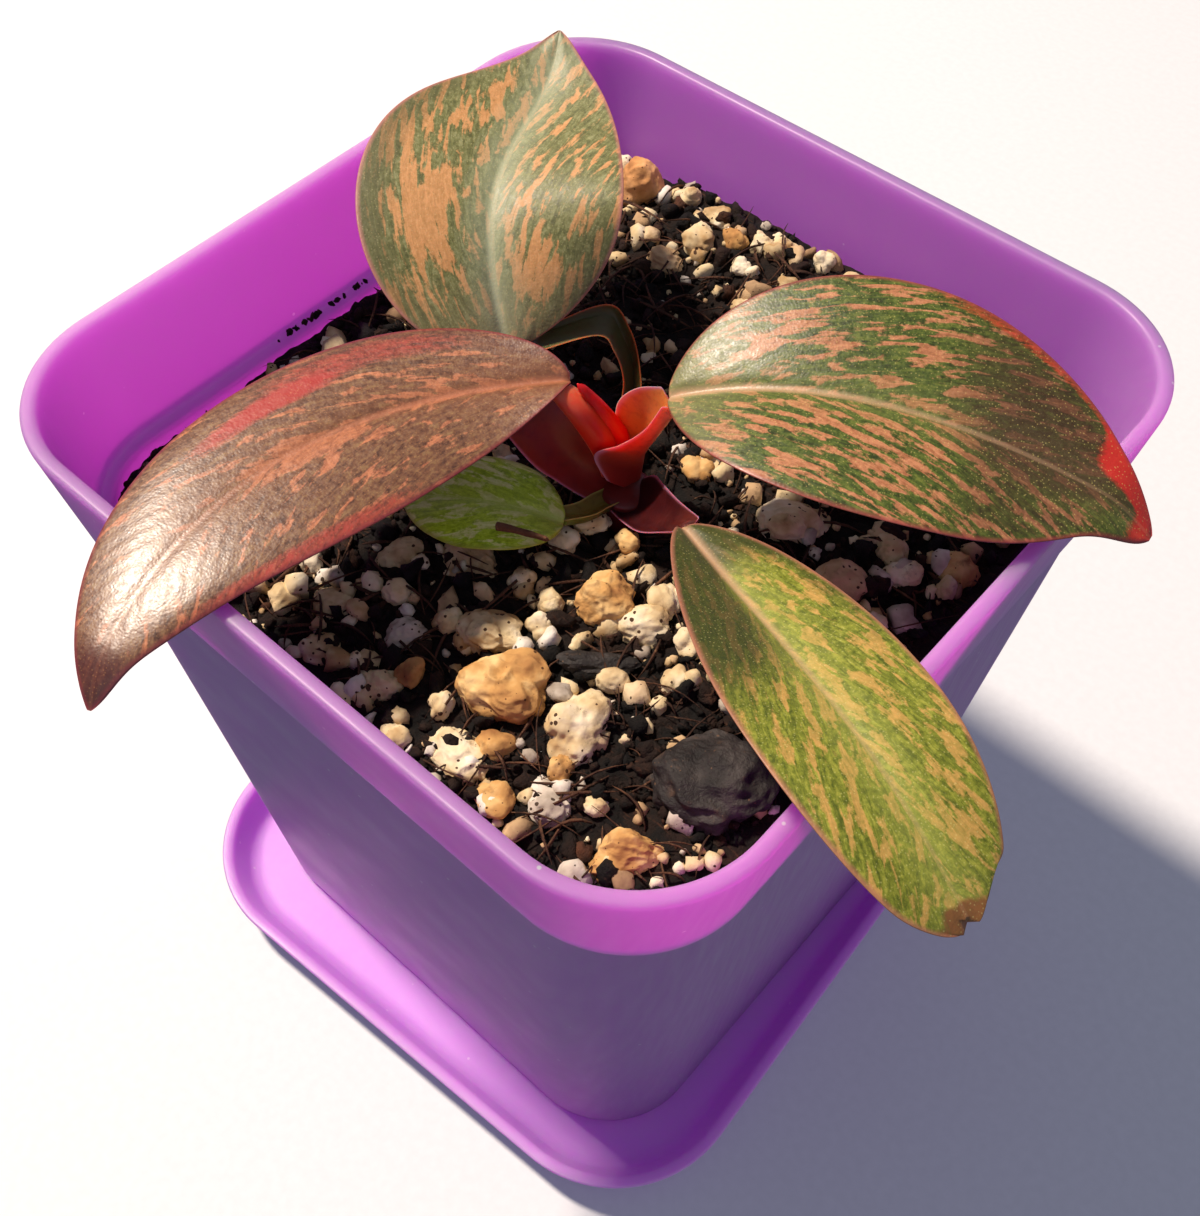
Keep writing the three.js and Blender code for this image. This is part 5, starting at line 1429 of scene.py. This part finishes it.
# %% The winged stalks
STALKS = {
    "left_leaf_sheath": dict(
        colours=("5a181a", "742822", "5c4428", "8a2420", "a86480"), scatter=1.0,
        lines=(
            [[3.6, -3.4, 66.3], [2.0, -4.8, 67.8], [0.8, -6.3, 70.0], [-0.2, -7.9, 72.6], [-2.7, -8.8, 75.9]],
            [[2.7, -1.6, 66.0], [1.5, -2.8, 67.6], [0.3, -3.7, 69.6], [-0.8, -4.8, 72.0], [-2.6, -6.2, 75.7]],
            [[2.4, -1.3, 67.2], [2.0, -2.0, 69.2], [1.5, -2.7, 71.4], [0.9, -3.3, 73.4], [-1.5, -3.9, 76.4]],
        ),
    ),
    "left_leaf_strap": dict(
        colours=("d80c0c", "d8301c", "c86444", "d42a1a", "e87850"), scatter=1.6,
        lines=(
            [[2.2, -2.1, 67.5], [2.1, -3.2, 71.2], [1.3, -3.7, 73.3], [0.2, -4.2, 75.2], [-1.5, -4.5, 76.8]],
            [[2.3, -1.1, 67.5], [2.5, -2.2, 71.6], [1.9, -2.9, 74.0], [0.7, -3.4, 75.9], [-1.2, -3.8, 77.0]],
            [[2.5, -0.1, 67.5], [2.8, -1.0, 71.4], [2.2, -1.4, 73.9], [0.8, -2.0, 76.0], [-1.2, -2.7, 77.0]],
        ),
    ),
    "right_leaf_petiole": dict(
        colours=("8a2420", "d8502e", "f08a60", "c87434", "c07c98"), scatter=1.4,
        lines=(
            [[2.2, -0.3, 67.6], [1.8, -0.3, 72.0], [2.2, -0.5, 75.4], [3.3, 0.4, 77.0], [5.2, 1.4, 77.7]],
            [[3.9, -0.2, 66.2], [3.6, 0.5, 68.4], [4.0, 0.5, 70.8], [5.0, 0.6, 73.4], [6.5, 0.8, 76.7]],
            [[3.2, -2.6, 68.2], [2.5, -3.6, 72.0], [4.2, -2.5, 73.6], [5.5, -1.2, 75.2], [6.2, 0.1, 77.5]],
        ),
    ),
    "front_leaf_sheath": dict(
        colours=("30090e", "6c2826", "a04c3c", "30090e", "a86c84"), scatter=0.6,
        lines=(
            [[3.5, -3.3, 66.4], [5.8, -4.0, 66.9], [8.1, -4.6, 68.0], [10.5, -4.9, 70.2], [12.8, -5.7, 73.0]],
            [[3.6, -1.2, 65.8], [5.6, -1.7, 66.4], [7.7, -2.5, 67.6], [10.5, -3.6, 70.2], [13.2, -4.8, 73.0]],
            [[4.2, 0.6, 67.0], [5.8, 0.1, 69.0], [7.6, -1.0, 70.2], [10.5, -2.7, 72.0], [13.8, -4.3, 74.0]],
        ),
    ),
    "back_leaf_arch": dict(
        colours=("4a2a1e", "5a4426", "6a5a30", "4c4a28", "a8683e"), scatter=0.9,
        lines=(
            [
                [2.1, 0.3, 66.6], [0.2, 4.7, 69.0], [-1.3, 6.4, 71.6],
                [-3.3, 7.3, 74.2], [-5.8, 7.1, 75.4], [-8.6, 1.0, 74.8],
            ],
            [
                [2.3, -0.4, 66.2], [-0.6, 4.4, 68.0], [-2.1, 6.3, 70.4],
                [-3.8, 6.9, 72.8], [-5.7, 6.4, 74.2], [-8.1, 0.4, 74.2],
            ],
            [
                [1.4, -0.3, 66.6], [-0.9, 3.4, 69.0], [-1.6, 4.6, 71.4],
                [-2.8, 4.8, 73.6], [-4.3, 4.3, 74.8], [-6.9, -0.8, 74.8],
            ],
        ),
    ),
    "old_leaf_stalk": dict(
        colours=("3c2418", "6a5a28", "7a8030", "7a6a2c", "a89a58"), scatter=0.8,
        lines=(
            [[2.6, -2.2, 67.0], [2.4, -3.8, 67.4], [2.2, -5.4, 67.6], [1.4, -7.2, 68.0]],
            [[3.6, -2.2, 66.2], [3.4, -3.8, 66.4], [3.2, -5.4, 66.7], [2.2, -7.4, 67.2]],
            [[4.6, -2.2, 67.0], [4.3, -3.8, 67.3], [4.0, -5.4, 67.5], [3.0, -7.6, 68.0]],
        ),
    ),
}
print("stalks:", ", ".join(STALKS))

# %% [markdown]
# ## Growing the stalks
# Every stalk is a piece of its own, so that its colours can change from foot to top over its own length.

# %% Six channels
for name, stalk in STALKS.items():
    surface, numbers = channel(stalk["lines"])
    flesh = stalk_flesh(name + "_flesh", *stalk["colours"], stalk["scatter"])
    add_piece(name, surface, flesh, "stalk_red", **numbers)

# %% [markdown]
# ## The stem
# The stem is only a stub between the stalks, a plain rod that goes down into the mix. It takes the darkest of
# their colours, because hardly any light reaches it.

# %% The stem
STEM_FOOT, STEM_TOP = 60.0, 67.4

stem = swept([[*CROWN_PLACE, z] for z in (STEM_FOOT, (STEM_FOOT + STEM_TOP) / 2, STEM_TOP)], (2.3, 2.2))
height = smooth_step(60, 67, stem[0][:, 2])
stem_skin = stalk_flesh("stem_base_flesh", "3c1214", "5a181a", "6a1e1c", "5a181a", "6a1e1c", 0.8)
plain = {"height": height, "rim": 0 * height, "inside": 0 * height}
add_piece("crown_stem", stem, stem_skin, "stalk_red", ["crown_and_stalks"], **plain)

# %% [markdown]
# ## The rolled new leaf
# In the midst of the stalks stands the next leaf, rolled into a pure red spike. It lets more light through than
# anything else here, so its scattering reaches further. A rod that narrows along a bent path is enough for it.

# %% The rolled new leaf
SPIKE_PATH = [[2.0, 0.0, 68.8], [2.2, -0.7, 71.9], [1.7, -1.7, 74.8], [0.8, -2.3, 76.5], [0.1, -2.9, 77.8]]

spike = swept(SPIKE_PATH, (1.3, 0.3))
height = smooth_step(68, 79, spike[0][:, 2])
spike_skin = stalk_flesh("rolled_new_leaf", "f00c0c", "f0140c", "a01418", "f0140c", "f0140c", 2.2)
plain = {"height": height, "rim": 0 * height, "inside": 0 * height}
add_piece("new_leaf_roll", spike, spike_skin, "new_leaf_red", ["new_leaf_spike"], **plain)

# %% [markdown]
# ## A splinter of bark
# A dry splinter has fallen on the small old leaf. It is a flattened rod, roughened by noise, and its material is the
# peat's own with paler colours.

# %% The splinter
SLIVER_PATH = [[0.5, -12.7, 69.9], [2.3, -11.8, 69.9], [4.2, -10.7, 69.4]]

sliver = swept(SLIVER_PATH, (0.5, 0.35), 20, 50, flat=0.6)
sliver = (sliver[0] + 0.07 * rough(sliver[0], 0.7, 3, 4)[:, None], sliver[1])
dry_bark = damp_peat("dry_bark", "4a2e20", "7a5038", "a87c58")
add_piece("bark_splinter", sliver, dry_bark, "bark", ["bark_sliver"], tone=np.full(len(sliver[0]), 0.15))
